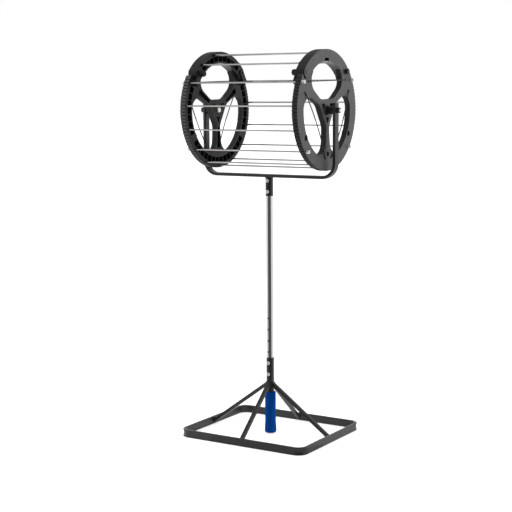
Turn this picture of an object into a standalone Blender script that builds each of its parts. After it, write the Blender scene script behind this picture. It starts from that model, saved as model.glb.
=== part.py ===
"""Tennis ball picker: a rolling cage drum on a fork, with a pole, a hand grip and a base ring.

Metres, +Z up. The origin is on the floor under the pole. X runs along the drum's axle and
-Y is the side with the screw heads. The tool stands on its base ring with the drum on top.
"""
import math

import bmesh
import bpy
from mathutils import Vector

for old in list(bpy.data.objects):
    bpy.data.objects.remove(old, do_unlink=True)

# Clearances
GAP = 0.0003                    # between pieces that touch or slide
LID_SEAM = 0.0008               # seam between the lid's ends and the discs
LID_SEAM_FRONT = 0.0065         # extra width of the seam in front of the lid's pivot
DRUM_TO_BAR = 0.0127            # drum rim to the fork's cross bar

# Heights above the floor
AXLE_HEIGHT = 0.8416
HANDLE_TOP = 0.2011
LOW_SCREW_HEIGHT = 0.1575
STRUT_TOP_HEIGHT = 0.130
GRIP_TOP = 0.1106
STRUT_FOOT_HEIGHT = 0.0093
GRIP_BOTTOM = 0.001

# Drum
DRUM_TURN_DEG = 1.25            # how far the drum is turned on its axle at rest
DRUM_LENGTH = 0.3399            # over the outer faces of the discs
DISC_RADIUS = 0.1500
DISC_THICKNESS = 0.0149
TOOTH_COUNT = 110               # round a full circle
TOOTH_DEPTH = 0.0017
TOOTH_GAP_WIDTH = 0.0021
TEETH_FROM_DEG = 55.0           # the rim is smooth between this and the same angle behind
RING_BAND = 0.0318              # from the rim to the three openings
OPENING_FLAT = 0.027            # from the axle to the openings' inner edge
OPENING_OUTER_FILLET = 0.031
OPENING_INNER_FILLET = 0.030
SPOKE_WIDTH = 0.0172
SPOKE_WAIST_RADIUS = 0.055
SPOKE_FLARE_DEG = 4.5
WINDOW_NEAR = 0.017             # the small windows at the spokes' roots
WINDOW_FAR = 0.034
WINDOW_WIDTH = 0.017
WINDOW_CORNER = 0.0018
OVAL_FROM_RIM = 0.0420          # the oval recess at the lowest spoke
OVAL_WIDTH = 0.0105
OVAL_HEIGHT = 0.0125
RECESS_DEPTH = 0.009
STUD_FROM_RIM = 0.0245          # the two ring-shaped recesses and the stud left in them
STUD_RECESS_DIAMETER = 0.013
STUD_LIP = 0.0026
STUD_DIAMETER = 0.0078

# Rods
ROD_DIAMETER = 0.004
ROD_FROM_RIM = 0.0064
ROD_POSITIONS = 15
ROD_FIRST_DEG = 12.0
ROD_SEAT_DEPTH = 0.008
NUT_LENGTH = 0.0082
NUT_ACROSS = 0.0078
NUT_CAP = 0.0022

# Guard wires
WIRE_DIAMETER = 0.0026
WIRE_FROM_RIM = 0.0305
WIRE_HALF_SPAN_DEG = 52.5
WIRE_BOW = 0.0048
WIRE_SEAT = 0.003

# Lid
LID_FROM_RIM = 0.0002
LID_BAND = 0.0296               # across the lid's side
LID_WIDTH = 0.0250              # along the axle
LID_FRONT_DEG = 45.5            # pivot
LID_REAR_DEG = -46.0            # latch
LID_ROD_BOSS = 0.0078
EAR_TIP_DEG = 35.0              # the discs' ears reach this far in under the lid's ends
EAR_TIP_CLEAR = 0.0060
LID_BOSS_HEIGHT = 0.0046
RIB_PITCH_DEG = 8.6
RIB_THICKNESS = 0.0018
POCKET_DEPTH = 0.008
POCKET_INNER_WALL = 0.0050
POCKET_OUTER_WALL = 0.0112
LID_SLOT_FROM_EDGE = 0.0045     # lid's inner edge to the blind slot in its outer face
LID_SLOT_WIDTH = 0.0205
LID_SLOT_HEIGHT = 0.0066
BRACKET_THICKNESS = 0.004
BRACKET_ROOT_DEG = 9.5          # from the lid's end to the bracket's root
BRACKET_ROOT_SPAN_DEG = 4.5
BRACKET_INNER_STEP = 0.0035     # in from the lid's edges
BRACKET_OUTER_STEP = 0.0102
BRACKET_EYE_DIAMETER = 0.0165
PIVOT_DIAMETER = 0.006
PIVOT_KNOB_DIAMETER = 0.0154
PIVOT_KNOB_LENGTH = 0.0120
PIVOT_BUTTON_DIAMETER = 0.0150
PIVOT_BUTTON_HEIGHT = 0.0009
LATCH_PIN_DIAMETER = 0.005
LATCH_KNOB_DIAMETER = 0.015
LATCH_KNOB_HEIGHT = 0.0078

# Fork and axle
BAR_LONG = 0.0200               # the flat tube of the fork and the base ring
BAR_THICK = 0.0080
BAR_EDGE = 0.0020
SPACER_LENGTH = 0.0188          # disc to fork arm
SPACER_DIAMETER = 0.019
SPACER_FLANGE_DIAMETER = 0.024
SPACER_FLANGE = 0.0028
FORK_BEND_RADIUS = 0.040
FORK_TOP_ABOVE_AXLE = 0.018
AXLE_DIAMETER = 0.008
AXLE_HEAD_DIAMETER = 0.0135
AXLE_HEAD_HEIGHT = 0.005
AXLE_NUT_ACROSS = 0.013
AXLE_NUT_HEIGHT = 0.0078
AXLE_END_PROUD = 0.0012

# Pole, socket and handle tube
POLE_DIAMETER = 0.0178
POLE_WALL = 0.0012
POLE_END_MARGIN = 0.012         # pole below its lowest hole
HOLE_PITCH = 0.0295
POLE_HOLES = 6
SOCKET_WALL = 0.0007
SOCKET_LENGTH = 0.0476
SOCKET_SCREW_DROP = 0.0084      # cross bar to the upper screw
SOCKET_SCREW_PITCH = 0.0285
HANDLE_WALL = 0.00085
SCREW_DIAMETER = 0.004
SCREW_HEAD_DIAMETER = 0.0095
SCREW_HEAD_HEIGHT = 0.0034
SCREW_RECESS_DIAMETER = 0.004
SCREW_RECESS_DEPTH = 0.0018

# Hand grip
GRIP_DIAMETER = 0.0285
GRIP_FLARE_DIAMETER = 0.0305
GRIP_FLARE_LENGTH = 0.014
GRIP_ROUND = 0.0045
GRIP_END_WALL = 0.005

# Base ring and struts
RING_LENGTH = 0.3704
RING_WIDTH = 0.3084
RING_CORNER_RADIUS = 0.0275
CORNER_PINCH = 0.0021
STRUT_SIZE = 0.0092
STRUT_EDGE = 0.0010

# Derived positions
RING_INNER_RADIUS = DISC_RADIUS - RING_BAND
OVAL_RADIUS_POS = DISC_RADIUS - OVAL_FROM_RIM
STUD_CIRCLE_RADIUS = DISC_RADIUS - STUD_FROM_RIM
ROD_CIRCLE_RADIUS = DISC_RADIUS - ROD_FROM_RIM
WIRE_END_RADIUS = DISC_RADIUS - WIRE_FROM_RIM
LID_OUTER_RADIUS = DISC_RADIUS - LID_FROM_RIM
LID_INNER_RADIUS = LID_OUTER_RADIUS - LID_BAND
POCKET_INNER_RADIUS = LID_INNER_RADIUS + POCKET_INNER_WALL
POCKET_OUTER_RADIUS = LID_OUTER_RADIUS - POCKET_OUTER_WALL
LID_SLOT_RADIUS_POS = LID_INNER_RADIUS + LID_SLOT_FROM_EDGE
BRACKET_INNER_RADIUS = LID_INNER_RADIUS + BRACKET_INNER_STEP
BRACKET_OUTER_RADIUS = LID_OUTER_RADIUS - BRACKET_OUTER_STEP
DISC_OUT = DRUM_LENGTH / 2
DISC_IN = DISC_OUT - DISC_THICKNESS
ARM_IN = DISC_OUT + SPACER_LENGTH
ARM_OUT = ARM_IN + BAR_THICK
BAR_TOP = AXLE_HEIGHT - DISC_RADIUS - DRUM_TO_BAR
BAR_BOTTOM = BAR_TOP - BAR_THICK
LID_OUT = DISC_OUT - GAP
LID_IN = LID_OUT - LID_WIDTH
LID_MID_RADIUS = (LID_INNER_RADIUS + LID_OUTER_RADIUS) / 2
LID_END_RADIUS = (LID_OUTER_RADIUS - LID_INNER_RADIUS) / 2
ROD_PITCH_DEG = 360.0 / ROD_POSITIONS
ROD_ANGLES = [ROD_FIRST_DEG + ROD_PITCH_DEG * k for k in range(ROD_POSITIONS)]
LID_ROD_ANGLES = [a for a in ROD_ANGLES if a < LID_FRONT_DEG or a - 360 > LID_REAR_DEG]
TIE_ROD_ANGLES = [a for a in ROD_ANGLES
                  if min(abs(a - 60), abs(a - 132), abs(a - 228), abs(a - 300)) < ROD_PITCH_DEG / 2]
PLAIN_ROD_ANGLES = [a for a in ROD_ANGLES if a not in LID_ROD_ANGLES and a not in TIE_ROD_ANGLES]
BORE_RADIUS = AXLE_DIAMETER / 2 + GAP
SCREW_HOLE = SCREW_DIAMETER + 2 * GAP
HANDLE_OUTER = POLE_DIAMETER / 2 + GAP + HANDLE_WALL
SOCKET_OUTER = POLE_DIAMETER / 2 + GAP + SOCKET_WALL
HANDLE_BOTTOM = GRIP_BOTTOM + GRIP_END_WALL + GAP
POLE_BOTTOM = LOW_SCREW_HEIGHT - POLE_END_MARGIN
POLE_TOP = BAR_BOTTOM - GAP
SOCKET_TOP = BAR_BOTTOM - GAP


def polar(radius, degrees):
    """Drum coordinates (y, z); the angle runs from straight up towards the front, -Y."""
    a = math.radians(degrees)
    return (-radius * math.sin(a), radius * math.cos(a))


def material(name, colour, roughness, metallic=0.0):
    mat = bpy.data.materials.new(name)
    mat.use_nodes = True
    shader = mat.node_tree.nodes["Principled BSDF"]
    shader.inputs["Base Color"].default_value = (*colour, 1.0)
    shader.inputs["Roughness"].default_value = roughness
    shader.inputs["Metallic"].default_value = metallic
    mat.diffuse_color = (*colour, 1.0)
    return mat


LOOKS = {
    "paint": ((0.020, 0.020, 0.021), 0.42, 0.0),
    "plastic": ((0.055, 0.057, 0.060), 0.50, 0.0),
    "black": ((0.012, 0.012, 0.013), 0.45, 0.0),
    "steel": ((0.62, 0.60, 0.57), 0.28, 1.0),
    "chrome": ((0.75, 0.75, 0.76), 0.12, 1.0),
    "zinc": ((0.66, 0.65, 0.62), 0.30, 1.0),
    "grip": ((0.006, 0.045, 0.230), 0.70, 0.0),
}


def empty(name, location, parent=None):
    holder = bpy.data.objects.new(name, None)
    holder.location = location
    holder.parent = parent
    bpy.context.collection.objects.link(holder)
    return holder


def add(name, mesh, look, parent=None, location=(0, 0, 0)):
    """Link a mesh as a named object with a material of its own."""
    obj = bpy.data.objects.new(name, mesh)
    bpy.context.collection.objects.link(obj)
    obj.parent = parent
    obj.location = location
    if look:
        if not mesh.materials:
            mesh.materials.append(None)
        slot = obj.material_slots[0]
        slot.link = "OBJECT"
        slot.material = material(name, *LOOKS[look])
    return obj


def to_mesh(bm, name, smooth_deg=35.0):
    bmesh.ops.recalc_face_normals(bm, faces=bm.faces)
    mesh = bpy.data.meshes.new(name)
    bm.to_mesh(mesh)
    bm.free()
    mesh.shade_smooth()
    mesh.set_sharp_from_angle(angle=math.radians(smooth_deg))
    return mesh


def place(axis, along, across, up):
    """A point given along and across one of the axes X, Y or Z."""
    if axis == "X":
        return Vector((along, across, up))
    if axis == "Y":
        return Vector((across, along, up))
    return Vector((across, up, along))


def turned(bm, axis, profile, sides, centre=(0.0, 0.0), tube=False):
    """Turn (along, radius) points round an axis; tube joins the last point to the first."""
    rings = []
    for along, radius in profile:
        if radius == 0:
            rings.append([bm.verts.new(place(axis, along, centre[0], centre[1]))])
            continue
        ring = []
        for k in range(sides):
            a = 2 * math.pi * (k + 0.5) / sides
            ring.append(bm.verts.new(place(axis, along, centre[0] + radius * math.cos(a),
                                           centre[1] + radius * math.sin(a))))
        rings.append(ring)
    pairs = list(zip(rings, rings[1:]))
    if tube:
        pairs.append((rings[-1], rings[0]))
    for one, two in pairs:
        for k in range(sides):
            n = (k + 1) % sides
            if len(one) == 1:
                bm.faces.new((one[0], two[n], two[k]))
            elif len(two) == 1:
                bm.faces.new((one[k], one[n], two[0]))
            else:
                bm.faces.new((one[k], one[n], two[n], two[k]))


def turned_mesh(name, axis, profile, sides, tube=False):
    bm = bmesh.new()
    turned(bm, axis, profile, sides, tube=tube)
    return to_mesh(bm, name)


def prism(bm, axis, loops, start, end):
    """Extrude an outline with holes from start to end; each loop is a list of 2-D points."""
    edges = []
    for loop in loops:
        verts = [bm.verts.new(place(axis, start, a, b)) for a, b in loop]
        edges += [bm.edges.new((verts[k], verts[(k + 1) % len(verts)])) for k in range(len(verts))]
    filled = bmesh.ops.triangle_fill(bm, edges=edges, use_beauty=True)
    faces = [f for f in filled["geom"] if isinstance(f, bmesh.types.BMFace)]
    pushed = bmesh.ops.extrude_face_region(bm, geom=faces, use_keep_orig=True)
    moved = [v for v in pushed["geom"] if isinstance(v, bmesh.types.BMVert)]
    bmesh.ops.translate(bm, verts=moved, vec=place(axis, end - start, 0, 0))


def prism_mesh(name, axis, loops, start, end):
    bm = bmesh.new()
    prism(bm, axis, loops, start, end)
    return to_mesh(bm, name)


def circle(radius, sides, centre=(0.0, 0.0)):
    step = 2 * math.pi / sides
    return [(centre[0] + radius * math.cos(step * (k + 0.5)),
             centre[1] + radius * math.sin(step * (k + 0.5))) for k in range(sides)]


def rounded(corners, radius, steps):
    """A closed outline whose corners are rounded to the same radius."""
    outline = []
    count = len(corners)
    for k in range(count):
        here = Vector(corners[k])
        back = (Vector(corners[k - 1]) - here).normalized()
        ahead = (Vector(corners[(k + 1) % count]) - here).normalized()
        half = back.angle(ahead) / 2
        bisector = (back + ahead).normalized()
        centre = here + bisector * (radius / math.sin(half))
        first = here + back * (radius / math.tan(half)) - centre
        last = here + ahead * (radius / math.tan(half)) - centre
        turn = first.angle_signed(last)
        for s in range(steps + 1):
            a = -turn * s / steps
            outline.append((centre.x + first.x * math.cos(a) - first.y * math.sin(a),
                            centre.y + first.x * math.sin(a) + first.y * math.cos(a)))
    return outline


def section(long, thick, edge, steps=2):
    """A rounded flat tube outline: (in from the outer side, along the long side)."""
    half = long / 2
    corners = [(0.0, -half), (thick, -half), (thick, half), (0.0, half)]
    return rounded(corners, edge, steps)


def loft(name, rings, closed):
    """Join matching rings of points; open lofts get flat ends."""
    bm = bmesh.new()
    loops = [[bm.verts.new(p) for p in ring] for ring in rings]
    pairs = list(zip(loops, loops[1:]))
    if closed:
        pairs.append((loops[-1], loops[0]))
    for one, two in pairs:
        for k in range(len(one)):
            n = (k + 1) % len(one)
            bm.faces.new((one[k], one[n], two[n], two[k]))
    if not closed:
        bm.faces.new(loops[0])
        bm.faces.new(loops[-1])
    return to_mesh(bm, name)


def boolean(target, helper_mesh, operation="DIFFERENCE"):
    """Cut or join with a hidden mesh that shares the target's place."""
    label = helper_mesh.name
    cutter = add("helper_" + target.name + "_" + label, helper_mesh, None, target.parent,
                 target.location)
    cutter.hide_render = True
    cutter.display_type = "WIRE"
    step = target.modifiers.new(label, "BOOLEAN")
    step.operation = operation
    step.solver = "EXACT"
    step.object = cutter


# Base ring: a flat tube bent to a rounded rectangle, pinched at its corners
def base_ring():
    tube = section(BAR_LONG, BAR_THICK, BAR_EDGE)
    steps = 6
    rings = []
    for quarter in range(4):
        sx = 1 if quarter in (0, 3) else -1
        sy = 1 if quarter in (0, 1) else -1
        cx = sx * (RING_LENGTH / 2 - RING_CORNER_RADIUS)
        cy = sy * (RING_WIDTH / 2 - RING_CORNER_RADIUS)
        for s in range(steps + 1):
            a = math.radians(90 * (quarter + s / steps))
            pinch = CORNER_PINCH * math.sin(math.pi * s / steps)
            ring = []
            for depth, height in tube + [(0.0, 0.17 * BAR_LONG), (0.0, 0.0), (0.0, -0.17 * BAR_LONG)]:
                if depth < 1e-9:
                    depth = pinch * max(0.0, 1 - (height / (0.42 * BAR_LONG)) ** 2)
                radius = RING_CORNER_RADIUS - depth
                ring.append((cx + radius * math.cos(a), cy + radius * math.sin(a),
                             BAR_LONG / 2 + height))
            rings.append(ring)
    return add("base_ring", loft("base_ring", rings, True), "paint")


# Struts: square tubes from the handle tube down to the middle of each side
def strut(name, direction, reach):
    top = HANDLE_OUTER + GAP
    foot = reach - BAR_THICK - GAP
    slope = math.atan2(STRUT_TOP_HEIGHT - STRUT_FOOT_HEIGHT, foot - top)
    half = STRUT_SIZE / 2
    rise = half / math.cos(slope)
    corners = [(-half, -rise), (half, -rise), (half, rise), (-half, rise)]
    outline = rounded(corners, STRUT_EDGE, 1)
    side = Vector((-direction.y, direction.x, 0))
    rings = []
    for out, height in ((top, STRUT_TOP_HEIGHT), (foot, STRUT_FOOT_HEIGHT)):
        rings.append([direction * out + side * a + Vector((0, 0, height + b)) for a, b in outline])
    return add(name, loft(name, rings, False), "paint")


base_ring()
strut("strut_right", Vector((1, 0, 0)), RING_LENGTH / 2)
strut("strut_left", Vector((-1, 0, 0)), RING_LENGTH / 2)
strut("strut_front", Vector((0, -1, 0)), RING_WIDTH / 2)
strut("strut_rear", Vector((0, 1, 0)), RING_WIDTH / 2)


# Handle tube, hand grip and pole
def tube_mesh(name, bottom, top, outer, wall, sides):
    inner = outer - wall
    profile = [(bottom, outer), (top, outer), (top, inner), (bottom, inner)]
    return turned_mesh(name, "Z", profile, sides, tube=True)


def cross_holes(name, heights, start, end):
    """Cutters along Y for screw holes at the given heights."""
    bm = bmesh.new()
    for height in heights:
        turned(bm, "Y", [(start, 0), (start, SCREW_HOLE / 2), (end, SCREW_HOLE / 2), (end, 0)], 8,
               (0.0, height))
    return to_mesh(bm, name)


handle_screw_heights = [LOW_SCREW_HEIGHT, LOW_SCREW_HEIGHT + HOLE_PITCH]
handle_tube = add("handle_tube", tube_mesh("handle_tube", HANDLE_BOTTOM, HANDLE_TOP, HANDLE_OUTER,
                                           HANDLE_WALL, 24), "paint")
boolean(handle_tube, cross_holes("handle_holes", handle_screw_heights, -2 * HANDLE_OUTER, 0.0))

grip_r = GRIP_DIAMETER / 2
flare_r = GRIP_FLARE_DIAMETER / 2
grip_bore = HANDLE_OUTER + GAP
grip_profile = [
    (GRIP_BOTTOM, 0), (GRIP_BOTTOM, flare_r - GRIP_ROUND),
    (GRIP_BOTTOM + 0.3 * GRIP_ROUND, flare_r - 0.3 * GRIP_ROUND), (GRIP_BOTTOM + GRIP_ROUND, flare_r),
    (GRIP_BOTTOM + GRIP_FLARE_LENGTH, flare_r - 0.0002), (GRIP_BOTTOM + 2 * GRIP_FLARE_LENGTH, grip_r),
    (GRIP_TOP - 0.004, grip_r), (GRIP_TOP - 0.0012, grip_r - 0.0012), (GRIP_TOP, grip_r - 0.0030),
    (GRIP_TOP, grip_bore), (GRIP_BOTTOM + GRIP_END_WALL, grip_bore), (GRIP_BOTTOM + GRIP_END_WALL, 0)]
add("hand_grip", turned_mesh("hand_grip", "Z", grip_profile, 24), "grip")


def screw_profile(seat, tip):
    """A button-head screw along -Y: the head sits on seat, the shank ends at tip."""
    head = seat + SCREW_HEAD_HEIGHT
    shank = SCREW_DIAMETER / 2
    outer = SCREW_HEAD_DIAMETER / 2
    recess = SCREW_RECESS_DIAMETER / 2
    return [(-head + SCREW_RECESS_DEPTH, 0), (-head + SCREW_RECESS_DEPTH, recess), (-head, recess),
            (-head + 0.0006, outer - 0.0010), (-head + 0.0018, outer), (-seat, outer),
            (-seat, shank), (-tip, shank), (-tip, 0)]


handle_screw = turned_mesh("handle_screw", "Y",
                           screw_profile(HANDLE_OUTER + GAP, POLE_DIAMETER / 2 + 2 * GAP), 12)
for count, height in enumerate(handle_screw_heights, 1):
    add("handle_screw_%d" % count, handle_screw, "zinc", None, (0, 0, height))

# Mast: it slides down the handle tube, so its holder stands on the tube's axis
mast = empty("mast", (0, 0, HANDLE_TOP))


def local(height):
    return height - HANDLE_TOP


socket_heights = [BAR_BOTTOM - SOCKET_SCREW_DROP, BAR_BOTTOM - SOCKET_SCREW_DROP - SOCKET_SCREW_PITCH]
pole_heights = [LOW_SCREW_HEIGHT + HOLE_PITCH * k for k in range(POLE_HOLES)] + socket_heights
pole = add("pole", tube_mesh("pole", local(POLE_BOTTOM), local(POLE_TOP), POLE_DIAMETER / 2,
                             POLE_WALL, 24), "chrome", mast)
boolean(pole, cross_holes("pole_holes", [local(h) for h in pole_heights],
                          -POLE_DIAMETER, POLE_DIAMETER))
fork_socket = add("fork_socket", tube_mesh("fork_socket", local(SOCKET_TOP - SOCKET_LENGTH),
                                           local(SOCKET_TOP), SOCKET_OUTER, SOCKET_WALL, 24),
                  "paint", mast)
boolean(fork_socket, cross_holes("socket_holes", [local(h) for h in socket_heights],
                                 -2 * SOCKET_OUTER, 2 * SOCKET_OUTER))
socket_screw = turned_mesh("socket_screw", "Y",
                           screw_profile(SOCKET_OUTER + GAP, -POLE_DIAMETER / 2), 12)
for count, height in enumerate(socket_heights, 1):
    add("socket_screw_%d" % count, socket_screw, "zinc", mast, (0, 0, local(height)))


# Fork: one flat tube bent to a U, open at the top, with an axle hole in each arm
def fork():
    tube = section(BAR_LONG, BAR_THICK, BAR_EDGE)
    bend = FORK_BEND_RADIUS
    steps = 7
    frames = [((-ARM_OUT, AXLE_HEIGHT + FORK_TOP_ABOVE_AXLE), 180.0)]
    for side, start in ((-1, 180.0), (1, 270.0)):
        for s in range(steps + 1):
            a = start + 90.0 * s / steps
            x = side * (ARM_OUT - bend) + bend * math.cos(math.radians(a))
            z = BAR_BOTTOM + bend + bend * math.sin(math.radians(a))
            frames.append(((x, z), a))
    frames.append(((ARM_OUT, AXLE_HEIGHT + FORK_TOP_ABOVE_AXLE), 360.0))
    rings = []
    for (x, z), a in frames:
        out = (math.cos(math.radians(a)), math.sin(math.radians(a)))
        rings.append([(x - out[0] * depth, y, local(z - out[1] * depth)) for depth, y in tube])
    body = add("fork", loft("fork", rings, False), "paint", mast)
    bm = bmesh.new()
    ends = 1.2 * ARM_OUT
    turned(bm, "X", [(-ends, 0), (-ends, BORE_RADIUS), (ends, BORE_RADIUS), (ends, 0)], 16,
           (0.0, local(AXLE_HEIGHT)))
    boolean(body, to_mesh(bm, "axle_holes"))


fork()


# Axle bolts, spacers and nuts, one set at each fork arm
def axle_set(side, sign):
    head_in = DISC_IN - GAP - AXLE_HEAD_HEIGHT
    tip = ARM_OUT + GAP + AXLE_NUT_HEIGHT + AXLE_END_PROUD
    shank = AXLE_DIAMETER / 2
    head = AXLE_HEAD_DIAMETER / 2
    profile = [(head_in, 0), (head_in, 0.72 * head), (head_in + 0.0014, head), (DISC_IN - GAP, head),
               (DISC_IN - GAP, shank), (tip - 0.0006, shank), (tip, shank - 0.0006), (tip, 0)]
    centre = (0, 0, local(AXLE_HEIGHT))
    bolt = turned_mesh("axle_bolt", "X", [(sign * a, r) for a, r in profile], 14)
    add("axle_bolt_" + side, bolt, "zinc", mast, centre)
    near = DISC_OUT + GAP
    far = ARM_IN - GAP
    flange = SPACER_FLANGE_DIAMETER / 2
    body = SPACER_DIAMETER / 2
    profile = [(near, flange), (near + SPACER_FLANGE, flange), (near + SPACER_FLANGE, body),
               (far, body), (far, BORE_RADIUS), (near, BORE_RADIUS)]
    spacer = turned_mesh("axle_spacer", "X", [(sign * a, r) for a, r in profile], 18, tube=True)
    add("axle_spacer_" + side, spacer, "black", mast, centre)
    nut = prism_mesh("axle_nut", "X", [circle(AXLE_NUT_ACROSS / 2 / math.cos(math.pi / 6), 6),
                                       circle(BORE_RADIUS, 12)],
                     sign * (ARM_OUT + GAP), sign * (ARM_OUT + GAP + AXLE_NUT_HEIGHT))
    add("axle_nut_" + side, nut, "zinc", mast, centre)


axle_set("right", 1)
axle_set("left", -1)

# Drum: its holder is on the axle and turned a little at rest
drum = empty("drum", (0, 0, local(AXLE_HEIGHT)), mast)
drum.rotation_euler.x = math.radians(DRUM_TURN_DEG)


def rim_outline():
    """The toothed rim; the grooves leave out the lid's stretch."""
    pitch = 360.0 / TOOTH_COUNT
    half_top = math.degrees(TOOTH_GAP_WIDTH / 2 / DISC_RADIUS)
    half_low = 0.55 * half_top
    outline = []
    for k in range(TOOTH_COUNT):
        middle = (k + 0.5) * pitch
        if TEETH_FROM_DEG < middle < 360 - TEETH_FROM_DEG:
            for angle, depth in ((-half_top, 0.0), (-half_low, TOOTH_DEPTH), (half_low, TOOTH_DEPTH),
                                 (half_top, 0.0)):
                outline.append(polar(DISC_RADIUS - depth, middle + angle))
        else:
            outline.append(polar(DISC_RADIUS, middle))
    return outline


def opening_outline(middle_deg, lip):
    """One of the three openings; lip keeps a round ear of material at its outer edge."""
    wall = Vector((math.sin(math.radians(60)), math.cos(math.radians(60))))
    across = Vector((-wall.y, wall.x))
    flare = math.radians(SPOKE_FLARE_DEG)
    line_point = wall * SPOKE_WAIST_RADIUS + across * (SPOKE_WIDTH / 2)
    line_dir = wall * math.cos(flare) + across * math.sin(flare)
    inward = across * math.cos(flare) - wall * math.sin(flare)
    big = OPENING_OUTER_FILLET
    small = OPENING_INNER_FILLET
    start = line_point + inward * big
    b = start.dot(line_dir)
    c = start.dot(start) - (RING_INNER_RADIUS - big) ** 2
    outer_centre = start + line_dir * (-b + math.sqrt(b * b - c))
    start = line_point + inward * small
    inner_centre = start + line_dir * ((OPENING_FLAT + small - start.y) / line_dir.y)
    half = []
    limit = math.atan2(outer_centre.x, outer_centre.y)
    for s in range(10):
        a = limit * s / 10
        radius = RING_INNER_RADIUS
        if lip:
            ear = STUD_RECESS_DIAMETER / 2 + STUD_LIP
            miss = STUD_CIRCLE_RADIUS * math.sin(a)
            if abs(miss) < ear:
                near = STUD_CIRCLE_RADIUS * math.cos(a) - math.sqrt(ear * ear - miss * miss)
                radius = min(radius, near)
        half.append((radius * math.sin(a), radius * math.cos(a)))
    a0 = math.pi / 2 - limit
    a1 = math.atan2(-inward.y, -inward.x)
    for s in range(8):
        a = a0 + (a1 - a0) * s / 7
        half.append((outer_centre.x + big * math.cos(a), outer_centre.y + big * math.sin(a)))
    for s in range(4):
        a = a1 + (-math.pi / 2 - a1) * s / 3
        half.append((inner_centre.x + small * math.cos(a), inner_centre.y + small * math.sin(a)))
    whole = half + [(-x, y) for x, y in reversed(half[1:])]
    turn = math.radians(middle_deg)
    return [(-(x * math.cos(turn) + y * math.sin(turn)), y * math.cos(turn) - x * math.sin(turn))
            for x, y in whole]


def window_outline(spoke_deg):
    near = WINDOW_NEAR
    half = WINDOW_WIDTH / 2
    corners = rounded([(-half, near), (half, near), (0.0, WINDOW_FAR)], WINDOW_CORNER, 2)
    turn = math.radians(spoke_deg)
    return [(-(x * math.cos(turn) + y * math.sin(turn)), y * math.cos(turn) - x * math.sin(turn))
            for x, y in corners]


def end_point(end_deg, sign, beta_deg, radius):
    """A point round a lid end: beta is 0 along the rim away from the lid and 90 outwards."""
    centre = Vector(polar(LID_MID_RADIUS, end_deg))
    outward = centre.normalized()
    away = Vector((-outward.y, outward.x)) * sign
    beta = math.radians(beta_deg)
    spot = centre + (away * math.cos(beta) + outward * math.sin(beta)) * radius
    return (spot.x, spot.y)


def lid_outline(steps=8, span_steps=26):
    """The lid's side: a band of the ring with round ends about the pivot and the latch."""
    span = LID_FRONT_DEG - LID_REAR_DEG
    outer = [polar(LID_OUTER_RADIUS, LID_FRONT_DEG - span * k / span_steps)
             for k in range(span_steps + 1)]
    inner = [polar(LID_INNER_RADIUS, LID_REAR_DEG + span * k / span_steps)
             for k in range(span_steps + 1)]
    rear = [end_point(LID_REAR_DEG, -1, 90 - 180 * k / steps, LID_END_RADIUS) for k in range(1, steps)]
    front = [end_point(LID_FRONT_DEG, 1, -90 + 180 * k / steps, LID_END_RADIUS) for k in range(1, steps)]
    return outer + rear + inner + front


def lid_cutter_outline(steps=9, span_steps=26):
    """The gap for the lid in a disc: wider in front of the pivot and open at the rim."""
    open_deg = 35.0
    clear = LID_END_RADIUS + LID_SEAM
    seam = LID_INNER_RADIUS - LID_SEAM
    rear_ear = LID_REAR_DEG + EAR_TIP_DEG
    front_ear = LID_FRONT_DEG - EAR_TIP_DEG
    inner = [polar(seam, LID_REAR_DEG - rear_ear * k / 4) for k in range(5)]
    inner += [polar(seam - EAR_TIP_CLEAR, EAR_TIP_DEG * (2 * k / span_steps - 1))
              for k in range(span_steps + 1)]
    inner += [polar(seam, EAR_TIP_DEG + front_ear * k / 4) for k in range(5)]
    front = []
    rear = []
    for k in range(1, steps + 1):
        beta = -90 + (90 + open_deg) * k / steps
        ease = max(0.0, min(1.0, (beta + 40) / 60))
        ease = ease * ease * (3 - 2 * ease)
        front.append(end_point(LID_FRONT_DEG, 1, beta, clear + LID_SEAM_FRONT * ease))
        rear.append(end_point(LID_REAR_DEG, -1, beta, clear))
    beyond = 1.1 * DISC_RADIUS
    front_deg = math.degrees(math.atan2(-front[-1][0], front[-1][1]))
    rear_deg = math.degrees(math.atan2(-rear[-1][0], rear[-1][1]))
    outer = [polar(beyond, front_deg + (rear_deg - front_deg) * k / 8) for k in range(9)]
    return inner + front + outer + list(reversed(rear))


def bracket_outline(end_deg, sign, eye):
    """A bracket's root beside a lid end; with eye it also reaches over the pivot or latch."""
    near = end_deg + sign * BRACKET_ROOT_DEG
    far = near + sign * BRACKET_ROOT_SPAN_DEG
    outline = [polar(BRACKET_OUTER_RADIUS, near), polar(BRACKET_OUTER_RADIUS, far),
               polar(BRACKET_INNER_RADIUS, far), polar(BRACKET_INNER_RADIUS, near)]
    if eye:
        radius = BRACKET_EYE_DIAMETER / 2
        outline += [end_point(end_deg, sign, b, radius) for b in (-70, -105, -140, -180, 140, 105, 70)]
    return outline


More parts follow.
